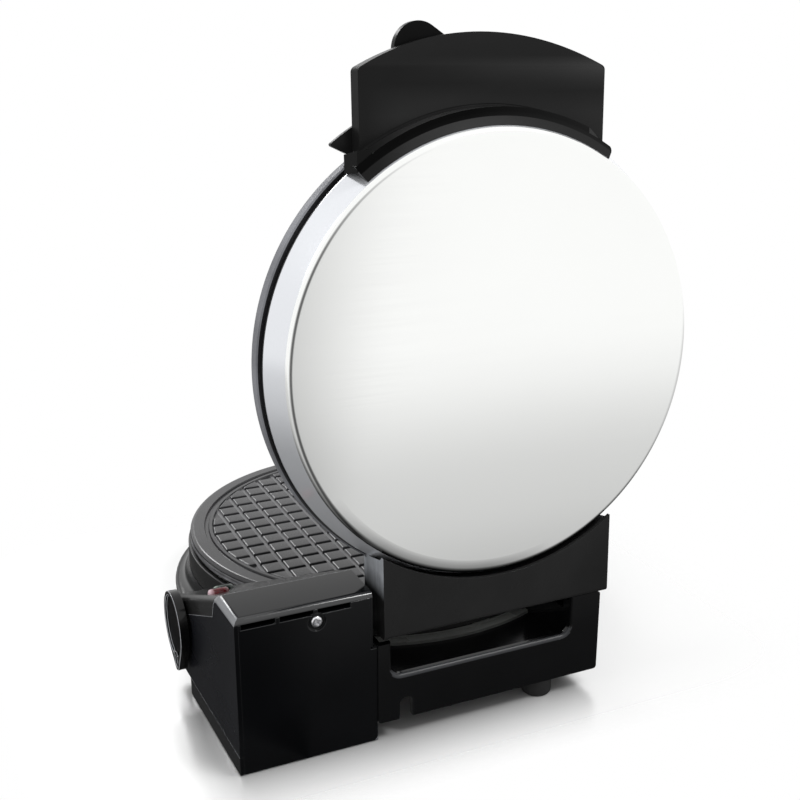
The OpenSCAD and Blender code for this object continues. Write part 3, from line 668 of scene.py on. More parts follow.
def linked(name: str, data: Any) -> bpy.types.Object:
    """Adds an object to the scene.

    Args:
        name: The object's name.
        data: Its mesh, lamp or camera.

    Returns:
        The object, at the origin.
    """
    made = bpy.data.objects.new(name, data)
    bpy.context.scene.collection.objects.link(made)
    return made


def meshed(name: str, bm: Mesh) -> bpy.types.Mesh:
    """Turns a bmesh into a mesh.

    Args:
        name: The mesh's name.
        bm: The shape, which is freed.

    Returns:
        The mesh.
    """
    mesh = bpy.data.meshes.new(name)
    bm.to_mesh(mesh)
    bm.free()
    return mesh


def aim(made: bpy.types.Object, spot: Vector, ahead: Vector) -> None:
    """Sets a lamp or the camera in its place.

    Args:
        made: The lamp or the camera.
        spot: Where it goes, in metres.
        ahead: The direction it looks in.
    """
    made.location = spot
    made.rotation_mode = "QUATERNION"
    made.rotation_quaternion = ahead.to_track_quat("-Z", "Y")


@dataclass
class Piece:
    """A mesh on its way to becoming one named piece of the machine."""

    name: str
    body: Body
    slot: Slot
    finishes: list[Finish]
    stands_for: list[str] = field(default_factory=list)
    smooth_angle: float = 32.0

    def finish(self, bm: Mesh, move: Matrix | None = None, recalculate: bool = True) -> None:
        """Turns a bmesh into the finished object, riding on its body.

        Args:
            bm: The shape, which is freed.
            move: A transform put into the mesh.
            recalculate: Whether to point the faces outwards.
        """
        if move is not None:
            bmesh.ops.transform(bm, matrix=move, verts=bm.verts)
        if recalculate:
            bmesh.ops.recalc_face_normals(bm, faces=bm.faces)
        mesh = meshed(self.name, bm)
        for face in mesh.polygons:
            face.use_smooth = True
        mesh.set_sharp_from_angle(angle=math.radians(self.smooth_angle))
        for finish in self.finishes:
            mesh.materials.append(finish.material())
        made = linked(self.name, mesh)
        even = made.modifiers.new("even_normals", "WEIGHTED_NORMAL")
        even.keep_sharp = True
        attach(made, self.body.value)
        if self.stands_for:
            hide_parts(*self.stands_for)
        LOG.info("%s rides on %s", self.name, self.body.value)


def spun(profile: Iterable[Pair], steps: int, closed: bool) -> Mesh:
    """Spins a profile of (radius, height) points round the Z axis.

    Args:
        profile: The points in millimetres.
        steps: Steps of the full turn.
        closed: Whether the profile's last point joins its first.

    Returns:
        The spun shape, welded, in metres.
    """
    bm = bmesh.new()
    verts = [bm.verts.new((r * MM, 0.0, z * MM)) for r, z in profile]
    edges = [bm.edges.new(pair) for pair in zip(verts, verts[1:])]
    if closed:
        edges.append(bm.edges.new((verts[-1], verts[0])))
    bmesh.ops.spin(bm, geom=verts + edges, cent=(0, 0, 0), axis=(0, 0, 1), angle=math.tau, steps=steps,
                   use_merge=True)
    bmesh.ops.remove_doubles(bm, verts=bm.verts, dist=WELD)
    return bm


def arc(centre: Pair, radius: float, start: float, end: float, count: int) -> list[Pair]:
    """Returns points of an arc between two angles in degrees, both ends included."""
    turns = [math.radians(start + (end - start) * i / count) for i in range(count + 1)]
    return [(centre[0] + radius * math.cos(t), centre[1] + radius * math.sin(t)) for t in turns]


def sector(section: Iterable[Pair], start: float, end: float, steps: int = 48) -> Mesh:
    """Spins a closed section of (radius, height) points between two angles off the front.

    Args:
        section: The points in millimetres.
        start: The first angle in degrees.
        end: The last angle in degrees.
        steps: Steps between them.

    Returns:
        The spun shape, in metres.
    """
    bm = bmesh.new()
    verts = [bm.verts.new((r * MM, 0.0, z * MM)) for r, z in section]
    face = bm.faces.new(verts)
    turn = Matrix.Rotation(math.radians(start - 90.0), 3, "Z")
    bmesh.ops.rotate(bm, verts=verts, cent=(0, 0, 0), matrix=turn)
    angle = math.radians(end - start)
    bmesh.ops.spin(bm, geom=[face], cent=(0, 0, 0), axis=(0, 0, 1), angle=angle, steps=steps)
    return bm


def joined_copy(node: str, flat_angle: float = 0.5) -> Mesh:
    """Copies a CAD node and joins its triangles into faces.

    Args:
        node: The node's name.
        flat_angle: The turn in degrees below which two faces count as one.

    Returns:
        The joined shape, in the machine's frame.
    """
    bm = bmesh.new()
    bm.from_mesh(frame["nodes"][node].data)
    bmesh.ops.remove_doubles(bm, verts=bm.verts, dist=PART_WELD)
    bmesh.ops.dissolve_limit(bm, angle_limit=math.radians(flat_angle), verts=bm.verts, edges=bm.edges)
    return bm


def sharp_edges(bm: Mesh, angle: float = 35.0) -> list[Edge]:
    """Returns the edges where two faces turn by more than an angle in degrees."""
    return [e for e in bm.edges if len(e.link_faces) == 2 and e.calc_face_angle(0.0) > math.radians(angle)]


def round_edges(bm: Mesh, edges: list[Edge], width: float, segments: int) -> None:
    """Rounds edges and marks the new faces as edge faces.

    Args:
        bm: The shape.
        edges: The edges to round.
        width: The rounding in metres.
        segments: Steps of the rounding.
    """
    made = bmesh.ops.bevel(bm, geom=edges, offset=width, offset_type="OFFSET", segments=segments, profile=0.5,
                           affect="EDGES", clamp_overlap=True, material=-1, loop_slide=True)
    for face in made["faces"]:
        face.material_index = EDGE_INDEX


@dataclass
class SteelCover:
    """The stainless cover of the lid: a drawn sheet with a tapered band and a crowned face.

    The lengths are in millimetres and the angles in degrees.
    """

    face_z: float = 69.2
    height: float = 13.7
    edge_r: float = 98.4
    taper: float = 4.4
    fillet: float = 3.0
    slant: float = 20.0
    band_tilt: float = 0.5
    crown: float = 0.6
    crown_shares: Triple = (0.25, 0.5, 0.75)
    hem: float = 1.0
    sheet: float = 0.8
    smooth_angle: float = 40.0
    outer_steps: int = 12
    inner_steps: int = 8
    steps: int = 240

    def build(self, place: Place) -> None:
        """Builds the cover and puts it on the open lid.

        Args:
            place: Where the lid's pieces go.
        """
        low = self.face_z - self.height
        corner = (self.edge_r - self.taper - self.fillet, self.face_z - self.fillet)
        outer = [(self.edge_r, low), (self.edge_r, low + self.hem)]
        outer += arc(corner, self.fillet, self.slant, 90, self.outer_steps)
        crown = [(corner[0] * (1 - t), self.face_z + self.crown * (1 - (1 - t) ** 2))
                 for t in self.crown_shares]
        top = self.face_z + self.crown
        inner_crown = [(r, z - self.sheet) for r, z in reversed(crown)]
        inner = arc(corner, self.fillet - self.sheet, 90, self.slant, self.inner_steps)
        profile = outer + crown + [(0.0, top), (0.0, top - self.sheet)] + inner_crown + inner
        profile += [(self.edge_r - self.sheet, low)]
        finishes = [Finishes.STEEL, Finishes.BAND]
        piece = Piece("steel_cover", Body.LID, Slot.STAINLESS, finishes, ["lid_cover"], self.smooth_angle)
        bm = spun(profile, self.steps, True)
        bm.normal_update()
        for face in bm.faces:
            face.material_index = EDGE_INDEX if abs(face.normal.z) < self.band_tilt else 0
        piece.finish(bm, place.lid())


@dataclass
class GridPlate:
    """A cast baking plate with raised pads between square grooves, a gutter and a rounded rim.

    The lengths are in millimetres, with the rim's top at 0.
    """

    radius: float = 100.0
    rim_w: float = 7.4
    rim_round: float = 2.2
    foot_w: Pair = (7.0, 5.0)
    chamfer: float = 0.6
    gutter_w: float = 2.6
    gutter_depth: float = 1.2
    gutter_lean: float = 0.5
    pad_level: float = -0.2
    groove_floor: float = -1.4
    pitch: float = 11.0
    groove_w: float = 1.6
    border: float = 1.6
    thickness: float = 6.2
    draft: float = 0.4
    rounding: float = 0.5
    rounding_h: float = 0.25
    least_pad: float = 16.0
    band_edge: float = 0.4
    band_top: float = 2.4
    lit_tilt: float = 0.25
    lit_slope: float = 0.5
    rim_steps: int = 8
    steps: int = 200

    @property
    def field_r(self) -> float:
        """The radius inside the gutter."""
        return self.radius - self.rim_w - self.gutter_w

    @property
    def inner_r(self) -> float:
        """The radius inside the border and its draft."""
        return self.field_r - self.border - self.draft

    def _ring(self, band: float) -> Mesh:
        """Spins the rim, gutter, border and back, with the band as high as given.

        Args:
            band: The height of the rim band in millimetres.

        Returns:
            The spun shape, face up at its own origin.
        """
        back = -max(band, self.thickness)
        r, f, lean = self.radius, self.field_r, self.gutter_lean
        outer = [(0.0, back), (r - self.foot_w[0], back), (r - self.foot_w[1], -band)]
        outer += [(r - self.chamfer, -band), (r, -band + self.chamfer)]
        rim = arc((r - self.rim_round, -self.rim_round), self.rim_round, 0, 90, self.rim_steps)
        gutter = [(f + self.gutter_w, 0.0), (f + self.gutter_w - lean, -self.gutter_depth)]
        gutter += [(f + lean, -self.gutter_depth), (f, self.pad_level)]
        border = [(f - self.border, self.pad_level), (self.inner_r, self.groove_floor)]
        return spun(outer + rim + gutter + border, self.steps, False)

    def _off_line(self, value: float) -> float:
        """Returns how far a coordinate in millimetres is from the nearest groove line."""
        return abs((value + self.pitch / 2) % self.pitch - self.pitch / 2)

    def _is_pad(self, centre: Vector) -> bool:
        """Tells whether a point of the field lies between the grooves."""
        return min(self._off_line(centre.x / MM), self._off_line(centre.y / MM)) > self.groove_w / 2

    def _field(self, bm: Mesh) -> None:
        """Cuts a disc along the groove edges and raises the pads between them.

        Args:
            bm: The shape, which is changed.
        """
        made = bmesh.ops.create_circle(bm, cap_ends=True, radius=self.inner_r * MM, segments=self.steps)
        bmesh.ops.translate(bm, verts=made["verts"], vec=(0, 0, self.groove_floor * MM))
        faces = list(set(made["verts"][0].link_faces) & set(made["verts"][1].link_faces))
        count = int(self.inner_r // self.pitch)
        axes, lines = (Vector((1, 0, 0)), Vector((0, 1, 0))), range(-count, count + 1)
        for axis, line, side in product(axes, lines, (-0.5, 0.5)):
            spot = axis * (line * self.pitch + side * self.groove_w) * MM
            parts = {p for f in faces for p in (*f.verts, *f.edges, f)}
            cut = bmesh.ops.bisect_plane(bm, geom=list(parts), dist=CUT_GAP, plane_co=spot, plane_no=axis)
            faces = [g for g in cut["geom"] if isinstance(g, Face)]
        least = self.least_pad * MM ** 2
        pads = [f for f in faces if self._is_pad(f.calc_center_median()) and f.calc_area() > least]
        wall_h = self.pad_level - self.groove_floor - self.rounding_h
        for inset, rise in ((self.draft, wall_h), (self.rounding, self.rounding_h)):
            bmesh.ops.inset_individual(
                bm, faces=pads, thickness=inset * MM, depth=rise * MM, use_even_offset=True)

    def _is_painted_lit(self, face: Face) -> bool:
        """Tells whether a face of the field gets painted light: the pads' sides and roundings that face +X or
        slope towards the front, and the floors of the grooves that run front to back.

        Args:
            face: A face of the plate.

        Returns:
            Whether it gets the painted light.
        """
        spot = face.calc_center_median() / MM
        if spot.xy.length > self.inner_r or spot.z < self.groove_floor - 2 * NEAR:
            return False
        beside = spot.z < self.groove_floor + NEAR and self._off_line(spot.x) < self.groove_w / 2
        sloping = face.normal.y < -self.lit_tilt and face.normal.z > self.lit_slope
        return beside or face.normal.x > self.lit_tilt or sloping

    def build(self, piece: Piece, band: float, move: Matrix) -> None:
        """Builds the plate face up at its own origin and moves it into place.

        Args:
            piece: The name and finishes of the plate.
            band: The height of its rim band in millimetres.
            move: Where the plate goes.
        """
        bm = self._ring(band)
        for face in bm.faces:
            middle = face.calc_center_median()
            outer = middle.xy.length > (self.radius - self.band_edge) * MM
            on_band = outer and middle.z < -self.band_top * MM
            face.material_index = PATCH_INDEX if on_band else 0
        self._field(bm)
        bmesh.ops.remove_doubles(bm, verts=bm.verts, dist=PART_WELD)
        bmesh.ops.recalc_face_normals(bm, faces=bm.faces)
        # painted light: a lighter coat on one side of each pad and in the grooves, as if lit from that side
        for face in filter(self._is_painted_lit, bm.faces):
            face.material_index = EDGE_INDEX
        piece.finish(bm, move)


@dataclass
class Plates:
    """The two grid plates; the heights are in millimetres."""

    lower_top_z: float = 43.5
    upper_face_z: float = 44.0
    lower_band: float = 5.7
    upper_band: float = 8.1

    def build(self, place: Place) -> None:
        """Builds both plates.

        Args:
            place: Where the plates go.
        """
        lift = Matrix.Translation((0, 0, self.lower_top_z * MM))
        coat, slot = [Finishes.COAT, Finishes.LIT_COAT], Slot.COATED_PLATE
        lower = Piece("lower_plate", Body.BASE, slot, coat + [Finishes.TURNED], ["lower_grid_plate"])
        GridPlate().build(lower, self.lower_band, place.shut() @ lift)
        drop = Matrix.Translation((0, 0, self.upper_face_z * MM)) @ Matrix.Rotation(math.pi, 4, "X")
        upper = Piece("upper_plate", Body.LID, slot, coat + [Finishes.CAST], ["upper_grid_plate"])
        GridPlate().build(upper, self.upper_band, place.lid() @ drop)


@dataclass(frozen=True)
class Moulding:
    """How a moulded part's copy is rounded and dressed; the lengths are in millimetres."""

    node: str
    rounding: float
    finish: Finish
    edge: Finish
    bold_rounding: float = 0.0
    bold: EdgePick | None = None
    patches: tuple[tuple[Finish, FacePick], ...] = ()


@dataclass
class Mouldings:
    """The moulded and pressed parts whose CAD shape stays, with rounded edges.

    The lengths are in millimetres about the plates' axis, and a tilt is a part of a face's normal.
    """

    place: Place
    rear_y: float = 136.0
    opening_x: Pair = (-39.3, 51.3)
    opening_z: float = 29.7
    box_side_x: float = 118.4
    box_rear_y: float = 134.9
    bracket_side_x: float = 55.0
    skirt_r: Pair = (101.0, 110.0)
    skirt_z: Pair = (14.0, 26.0)
    back_y: float = 60.0
    back_r: Pair = (98.0, 106.8)
    back_z: float = 22.6
    bead_z: Pair = (27.0, 33.0)
    upright_w: float = 4.0
    fin_x: float = 62.0
    fin_depth: float = 1.8
    dial_floor: float = 0.5
    dial_face: float = 1.5
    skirt_tilt: float = 0.02
    inward: float = -0.1
    bead_tilt: float = 0.1
    shoulder_tilt: float = 0.2
    outer_tilt: float = 0.3
    seam_tilt: Pair = (0.1, 0.95)

    def _own(self, spot: Vector) -> Vector:
        """Returns a point about the plates' axis, in millimetres."""
        return (spot - self.place.axis) / MM

    def _ends(self, edge: Edge) -> list[Vector]:
        """Returns an edge's two ends about the plates' axis."""
        return [self._own(v.co) for v in edge.verts]

    def _middle(self, face: Face) -> Vector:
        """Returns the middle of a face about the plates' axis."""
        return self._own(face.calc_center_median())

    def _on_opening(self, edge: Edge) -> bool:
        """Tells whether an edge frames the rear opening.

        Args:
            edge: An edge of the part.

        Returns:
            Whether it does.
        """
        spots = self._ends(edge)
        low, high = self.opening_x
        framed = all(low < p.x < high and p.z > self.opening_z for p in spots)
        return framed and all(abs(p.y - self.rear_y) < NEAR for p in spots)

    def _on_box_corner(self, edge: Edge) -> bool:
        """Tells whether an edge is the control box's upright rear corner."""
        spots = self._ends(edge)
        return all(p.x > self.box_side_x and p.y > self.box_rear_y for p in spots)

    def _on_skirt(self, face: Face) -> bool:
        """Tells whether a face is on the bowl's rising skirt.

        Args:
            face: A face of the part.

        Returns:
            Whether it is.
        """
        spot = self._middle(face)
        reach = spot.xy.length
        outward = face.normal.xy.dot(spot.xy) / max(reach, 1.0)
        level = self.skirt_z[0] < spot.z < self.skirt_z[1]
        ahead = spot.y < self.back_y and face.normal.z > self.skirt_tilt
        return level and self.skirt_r[0] < reach < self.skirt_r[1] and ahead and outward > self.inward

    def _on_bowl_back(self, face: Face) -> bool:
        """Tells whether a face is on the bowl's upright back, where the rear opening shows it.

        Args:
            face: A face of the part.

        Returns:
            Whether it is.
        """
        spot = self._middle(face)
        behind = spot.y > self.back_y and spot.z > self.back_z
        return behind and self.back_r[0] < spot.xy.length < self.back_r[1]

    def _on_rear_upright(self, face: Face) -> bool:
        """Tells whether a face is on the rear frame but not on the bead under its opening.

        Args:
            face: A face of the part.

        Returns:
            Whether it is.
        """
        spot = self._middle(face)
        bead = face.normal.z > self.bead_tilt and self.bead_z[0] < spot.z < self.bead_z[1]
        return spot.y > self.rear_y - self.upright_w and not bead

    def _on_fin_tip(self, edge: Edge) -> bool:
        """Tells whether an edge runs through the apron near the tip of its fin.

        Args:
            edge: An edge of the part.

        Returns:
            Whether it does.
        """
        spots = self._ends(edge)
        upright = abs(spots[0].x - spots[1].x) < 2 * NEAR
        through = (spots[0] - spots[1]).length > self.fin_depth and upright
        return through and all(p.x > self.fin_x for p in spots)

    def _on_outer_shoulder(self, face: Face) -> bool:
        """Tells whether a face is on the control box's shoulder along its outer side."""
        return min(face.normal.x, face.normal.z) > self.outer_tilt

    def _on_bracket_side(self, face: Face) -> bool:
        """Tells whether a face is the bracket's side towards the control box."""
        return face.normal.x > FACING and self._middle(face).x > self.bracket_side_x

    def _on_shoulder(self, face: Face) -> bool:
        """Tells whether a face is on the control box's rounded shoulders."""
        return min(face.normal.z, max(face.normal.x, face.normal.y)) > self.shoulder_tilt

    @staticmethod
    def _on_side(face: Face) -> bool:
        """Tells whether a face is on the control box's outer side."""
        return face.normal.x > FACING

    def _on_tray_seam(self, face: Face) -> bool:
        """Tells whether a face is on the rounding under the control box's outer side."""
        low, high = self.seam_tilt
        return face.normal.x > self.shoulder_tilt and low < face.normal.z < high

    @staticmethod
    def _dial_depth(face: Face) -> float:
        """Returns how far a face lies behind the dial's front, in millimetres."""
        return (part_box("dial")[1].x - face.calc_center_median().x) / MM

    def _in_dial(self, face: Face) -> bool:
        """Tells whether a face is the floor of the dial's hollow."""
        return face.normal.x > FACING and self._dial_depth(face) > self.dial_floor

    def _behind_dial(self, face: Face) -> bool:
        """Tells whether a face is on the side or the back of the dial."""
        return self._dial_depth(face) > self.dial_face

    def _list(self) -> list[Moulding]:
        """Lists every part with its rounding and finishes.

        Returns:
            The parts in the order in which they are built.
        """
        f = Finishes
        base = ((f.SKIRT_LIT, self._on_skirt), (f.BOWL_BACK_LIT, self._on_bowl_back), (f.BASE, self._on_rear_upright))
        box = ((f.BOX_SIDE_LIT, self._on_side), (f.EDGE, self._on_shoulder), (f.SHOULDER_HIGHLIGHT, self._on_outer_shoulder))
        dial = ((f.HOLLOW_SHADE, self._in_dial), (f.DIAL, self._behind_dial))
        return [
            Moulding("base_housing", 0.7, f.BASE, f.BEAD, 1.7, self._on_opening, base),
            Moulding("base_collar", 0.4, f.ENAMEL, f.ENAMEL),
            Moulding("rear_bracket", 0.7, f.LID, f.EDGE, patches=((f.SCUFF_AND_LIGHT, self._on_bracket_side),)),
            Moulding("handle_apron", 0.5, f.LID, f.LID, 1.6, self._on_fin_tip),
            Moulding("latch", 0.7, f.LATCH, f.LATCH),
            Moulding("latch_keeper", 0.6, f.BASE, f.EDGE),
            Moulding("control_housing", 0.6, f.BOX, f.EDGE, 1.2, self._on_box_corner, box),
            Moulding("control_tray", 0.5, f.BOX, f.EDGE, patches=((f.SEAM_HIGHLIGHT, self._on_tray_seam),)),
            Moulding("control_rear_cover", 0.4, f.BOX, f.EDGE),
            Moulding("control_panel", 0.5, f.PANEL, f.SEAM_HIGHLIGHT),
            Moulding("dial", 0.7, f.DIAL, f.SEAM_HIGHLIGHT, patches=dial),
            Moulding("rear_cover_screw", 0.12, f.ZINC, f.ZINC),
        ]

    def build(self, bodies: dict[str, Body], slots: dict[str, Slot]) -> None:
        """Rounds each part's edges and dresses it.

        Args:
            bodies: Each node's body.
            slots: Each node's material slot.
        """
        for part in self._list():
            node = part.node
            finishes = [part.finish, part.edge] + [finish for finish, _ in part.patches]
            piece = Piece(node + "_moulding", bodies[node], slots[node], finishes, [node])
            bm = joined_copy(node)
            if part.bold:
                bold = [e for e in bm.edges if part.bold(e)]
                round_edges(bm, bold, part.bold_rounding * MM, BOLD_ROUND)
            round_edges(bm, sharp_edges(bm), part.rounding * MM, FINE_ROUND)
            bm.normal_update()
            for index, (_, pick) in enumerate(part.patches, PATCH_INDEX):
                for face in filter(pick, bm.faces):
                    face.material_index = index
            piece.finish(bm, recalculate=False)


@dataclass
class Visor:
    """The handle's visor, with a cove by its rim and a lip over the steel band.

    One end of the rim is cut slanting, and the other has a block beside it. The lengths are in
    millimetres about the plates' axis, with the lid shut, and the angles are in degrees.
    """

    half_w: float = 55.5
    plate_z: float = 55.0
    rim_r: float = 101.1
    cove: float = 1.2
    sunk: float = 0.4
    span: float = 40.0
    cut_at: Triple = (-63.6, -79.3, 56.9)
    cut_towards: Triple = (-0.685, 0.514, 0.516)
    rounding: float = 0.7
    corner_rounding: float = 1.3
    corner_w: float = 0.5
    corner_y: float = -110.0
    corner_depth: float = 3.0
    corner_steps: int = 4
    cove_steps: int = 10
    rim_end_tilt: float = 0.3
    rim_end_towards: Triple = (-0.6, 0.0, 0.8)
    lip_span: Pair = (-43.0, 37.5)
    lip: tuple[Pair, ...] = (
        (98.6, 57.0), (99.1, 57.0), (99.1, 65.2), (97.6, 65.5), (94.05, 66.9))
    lip_dark_r: float = 97.6
    lip_depth: float = 5.0
    lip_end_x: float = -50.0
    lip_end_rounding: float = 2.6
    lip_end_cuts: int = 6
    rim_top_z: float = 64.5
    cheek_r: Pair = (98.9, 108.0)
    cheek_z: Pair = (55.3, 65.1)
    cheek_turn: Pair = (28.0, 40.0)
    cheek_cuts: tuple[tuple[Triple, Triple], ...] = (
        ((54.8, 0.0, 0.0), (-1.0, 0.0, 0.0)), ((60.7, 0.0, 65.2), (0.989, 0.0, 0.145)),
        ((0.0, -85.1, 59.0), (0.0, -0.985, -0.175)))

    @staticmethod
    def _cut(bm: Mesh, spot: Vector, towards: Vector) -> None:
        """Cuts away what lies beyond a plane and closes the cut.

        Args:
            bm: The shape, which is changed.
            spot: A point of the plane.
            towards: The direction of the side that is cut away.
        """
        parts = list(bm.verts) + list(bm.edges) + list(bm.faces)
        bmesh.ops.bisect_plane(
            bm, geom=parts, dist=CUT_GAP, plane_co=spot, plane_no=towards, clear_outer=True)
        bmesh.ops.holes_fill(bm, edges=[e for e in bm.edges if e.is_boundary], sides=0)

    def _is_corner(self, edge: Edge) -> bool:
        """Tells whether an edge runs through the plate at an outer corner.

        Args:
            edge: An edge of the visor.

        Returns:
            Whether it does.
        """
        spots = [v.co / MM for v in edge.verts]
        through = abs(spots[0].z - spots[1].z) > self.corner_depth
        side_x = self.half_w - self.corner_w
        return through and all(abs(p.x) > side_x and p.y < self.corner_y for p in spots)

    def build(self, place: Place) -> None:
        """Builds the visor's pieces shut and swings them open.

        Args:
            place: Where the lid stands.
        """
        bm = joined_copy("handle_visor")
        bmesh.ops.transform(bm, matrix=place.lid().inverted(), verts=bm.verts)
        self._cut(bm, Vector((-self.half_w - NEAR, 0, self.plate_z)) * MM, Vector(self.rim_end_towards))
        corners = [e for e in bm.edges if self._is_corner(e)]
        round_edges(bm, corners, self.corner_rounding * MM, self.corner_steps)
        round_edges(bm, sharp_edges(bm), self.rounding * MM, FINE_ROUND)
        bm.normal_update()
        for face in bm.faces:
            rim_end = min(-face.normal.x, face.normal.z) > self.rim_end_tilt
            if face.normal.x > FACING or rim_end:
                face.material_index = PATCH_INDEX
            # the rim's top takes the rim finish, with its painted shade
            elif face.normal.z > FACING and face.calc_center_median().z > self.rim_top_z * MM:
                face.material_index = PATCH_INDEX + 1
        f = Finishes
        self._piece("moulding", [f.VISOR, f.CHEEK, f.CHEEK, f.RIM], ["handle_visor"]).finish(
            bm, place.lid(), recalculate=False)
        self._piece("cove", [f.CHEEK]).finish(self._cove(), place.lid())
        self._piece("lip", [f.VISOR, f.RIM]).finish(self._lip(), place.lid())
        self._piece("cheek", [f.CHEEK]).finish(self._cheek(), place.lid())

    @staticmethod
    def _piece(name: str, finishes: list[Finish], stands_for: Iterable[str] = ()) -> Piece:
        """Names a piece of the visor."""
        return Piece("handle_visor_" + name, Body.LID, Slot.SATIN_BLACK, finishes, list(stands_for))

    def _cove(self) -> Mesh:
        """Makes the cove along the rim, with its ends flush with the plate.

        Returns:
            The cove, shut.
        """
        low, high = self.plate_z - self.sunk, self.plate_z + self.cove
        hollow = arc((self.rim_r + self.cove, high), self.cove, 180, 270, self.cove_steps)
        section = [(self.rim_r - self.sunk, high)] + hollow + [
            (self.rim_r + self.cove, low), (self.rim_r - self.sunk, low)]
        bm = sector(section, -self.span, self.span)
        for side in (-1.0, 1.0):
            self._cut(bm, Vector((side * self.half_w * MM, 0, 0)), Vector((side, 0, 0)))
        return bm

    def _softened(self, bm: Mesh) -> Mesh:
        """Rounds a made shape's sharp edges in its own finish.

        Args:
            bm: The shape, which is changed.

        Returns:
            The same shape.
        """
        bmesh.ops.recalc_face_normals(bm, faces=bm.faces)
        round_edges(bm, sharp_edges(bm), self.rounding * MM, FINE_ROUND)
        for face in bm.faces:
            face.material_index = 0
        return bm

    def _lip(self) -> Mesh:
        """Makes the lip that leans from the rim over the steel band.

        Returns:
            The lip, shut.
        """
        bm = sector(self.lip, *self.lip_span)
        self._cut(bm, Vector(self.cut_at) * MM, Vector(self.cut_towards))
        self._round_lip_end(bm)
        self._softened(bm).normal_update()
        for face in bm.faces:
            # the lip's outer top takes the rim finish, with its painted shade
            outer = face.calc_center_median().xy.length > self.lip_dark_r * MM
            face.material_index = EDGE_INDEX if outer and face.normal.z > FACING else 0
        return bm

    def _round_lip_end(self, bm: Mesh) -> None:
        """Rounds the outer corner of the lip's cut end by planes that roll round it.

        Args:
            bm: The shape, which is changed.
        """
        corner = next(e for e in bm.edges if self._is_lip_end(e))
        spot = (corner.verts[0].co + corner.verts[1].co) / 2
        across, out = Vector(self.cut_towards).normalized(), Vector((spot.x, spot.y, 0.0)).normalized()
        middle = spot - self.lip_end_rounding * MM * (across + out) / (1.0 + across.dot(out))
        for step in range(1, self.lip_end_cuts):
            towards = across.lerp(out, step / self.lip_end_cuts).normalized()
            self._cut(bm, middle + towards * self.lip_end_rounding * MM, towards)

    def _is_lip_end(self, edge: Edge) -> bool:
        """Tells whether an edge runs through the lip at the outer corner of its cut end.

        Args:
            edge: An edge of the lip.

        Returns:
            Whether it does.
        """
        spots = [v.co / MM for v in edge.verts]
        through = abs(spots[0].z - spots[1].z) > self.lip_depth
        return through and all(p.x < self.lip_end_x and p.xy.length > self.lip_dark_r for p in spots)

    def _cheek(self) -> Mesh:
        """Makes the block at the rim's other end, beside the plate.

        Returns:
            The block, shut.
        """
        (r0, r1), (z0, z1) = self.cheek_r, self.cheek_z
        bm = sector([(r0, z0), (r1, z0), (r1, z1), (r0, z1)], *self.cheek_turn)
        for spot, towards in self.cheek_cuts:
            self._cut(bm, Vector(spot) * MM, Vector(towards))
        return self._softened(bm)


@dataclass
class DialRib:
    """The rib that parts the dial's round hollow from the small one in its tip.

    The lengths are in millimetres and the angles in degrees.
    """

    reach: Pair = (12.2, 14.6)
    depth: Pair = (0.03, 1.2)
    half_turn: float = 13.0
    lean: float = 14.0
    rounding: float = 0.5

    def build(self, slots: dict[str, Slot]) -> None:
        """Spins the rib about the dial's shaft and sets it in the hollow.

        Args:
            slots: Each node's material slot.
        """
        face_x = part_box("dial")[1].x / MM
        (r0, r1), (x1, x0) = self.reach, (face_x - self.depth[0], face_x - self.depth[1])
        bm = sector([(r0, x0), (r1, x0), (r1, x1), (r0, x1)], -self.half_turn, self.half_turn)
        bmesh.ops.recalc_face_normals(bm, faces=bm.faces)
        crest = [e for e in sharp_edges(bm) if min(v.co.z for v in e.verts) > (x1 - NEAR) * MM]
        round_edges(bm, crest, self.rounding * MM, FINE_ROUND)
        hub = Vector(joint("dial_turn")["pos_m"])
        tilt = Matrix.Rotation(math.radians(90.0 + self.lean), 4, "X") @ Matrix.Rotation(math.pi / 2, 4, "Y")
        piece = Piece("dial_rib", Body.DIAL, slots["dial"], [Finishes.DIAL, Finishes.SEAM_HIGHLIGHT])
        piece.finish(bm, Matrix.Translation((0.0, hub.y, hub.z)) @ tilt)


class Carried:
    """The CAD nodes that show as they are."""

    def dress(self, slots: dict[str, Slot]) -> None:
        """Gives each shown node its finish.

        Args:
            slots: Each node's material slot.
        """
        for name, node in frame["nodes"].items():
            finish = SLOT_FINISH[slots[name]]
            node.data.materials.clear()
            node.data.materials.append(finish.material())


@dataclass(frozen=True)
class Lamp:
    """A square soft lamp; the lengths are in metres and the power in watts."""

    name: str
    spot: Triple
    size: float
    power: float


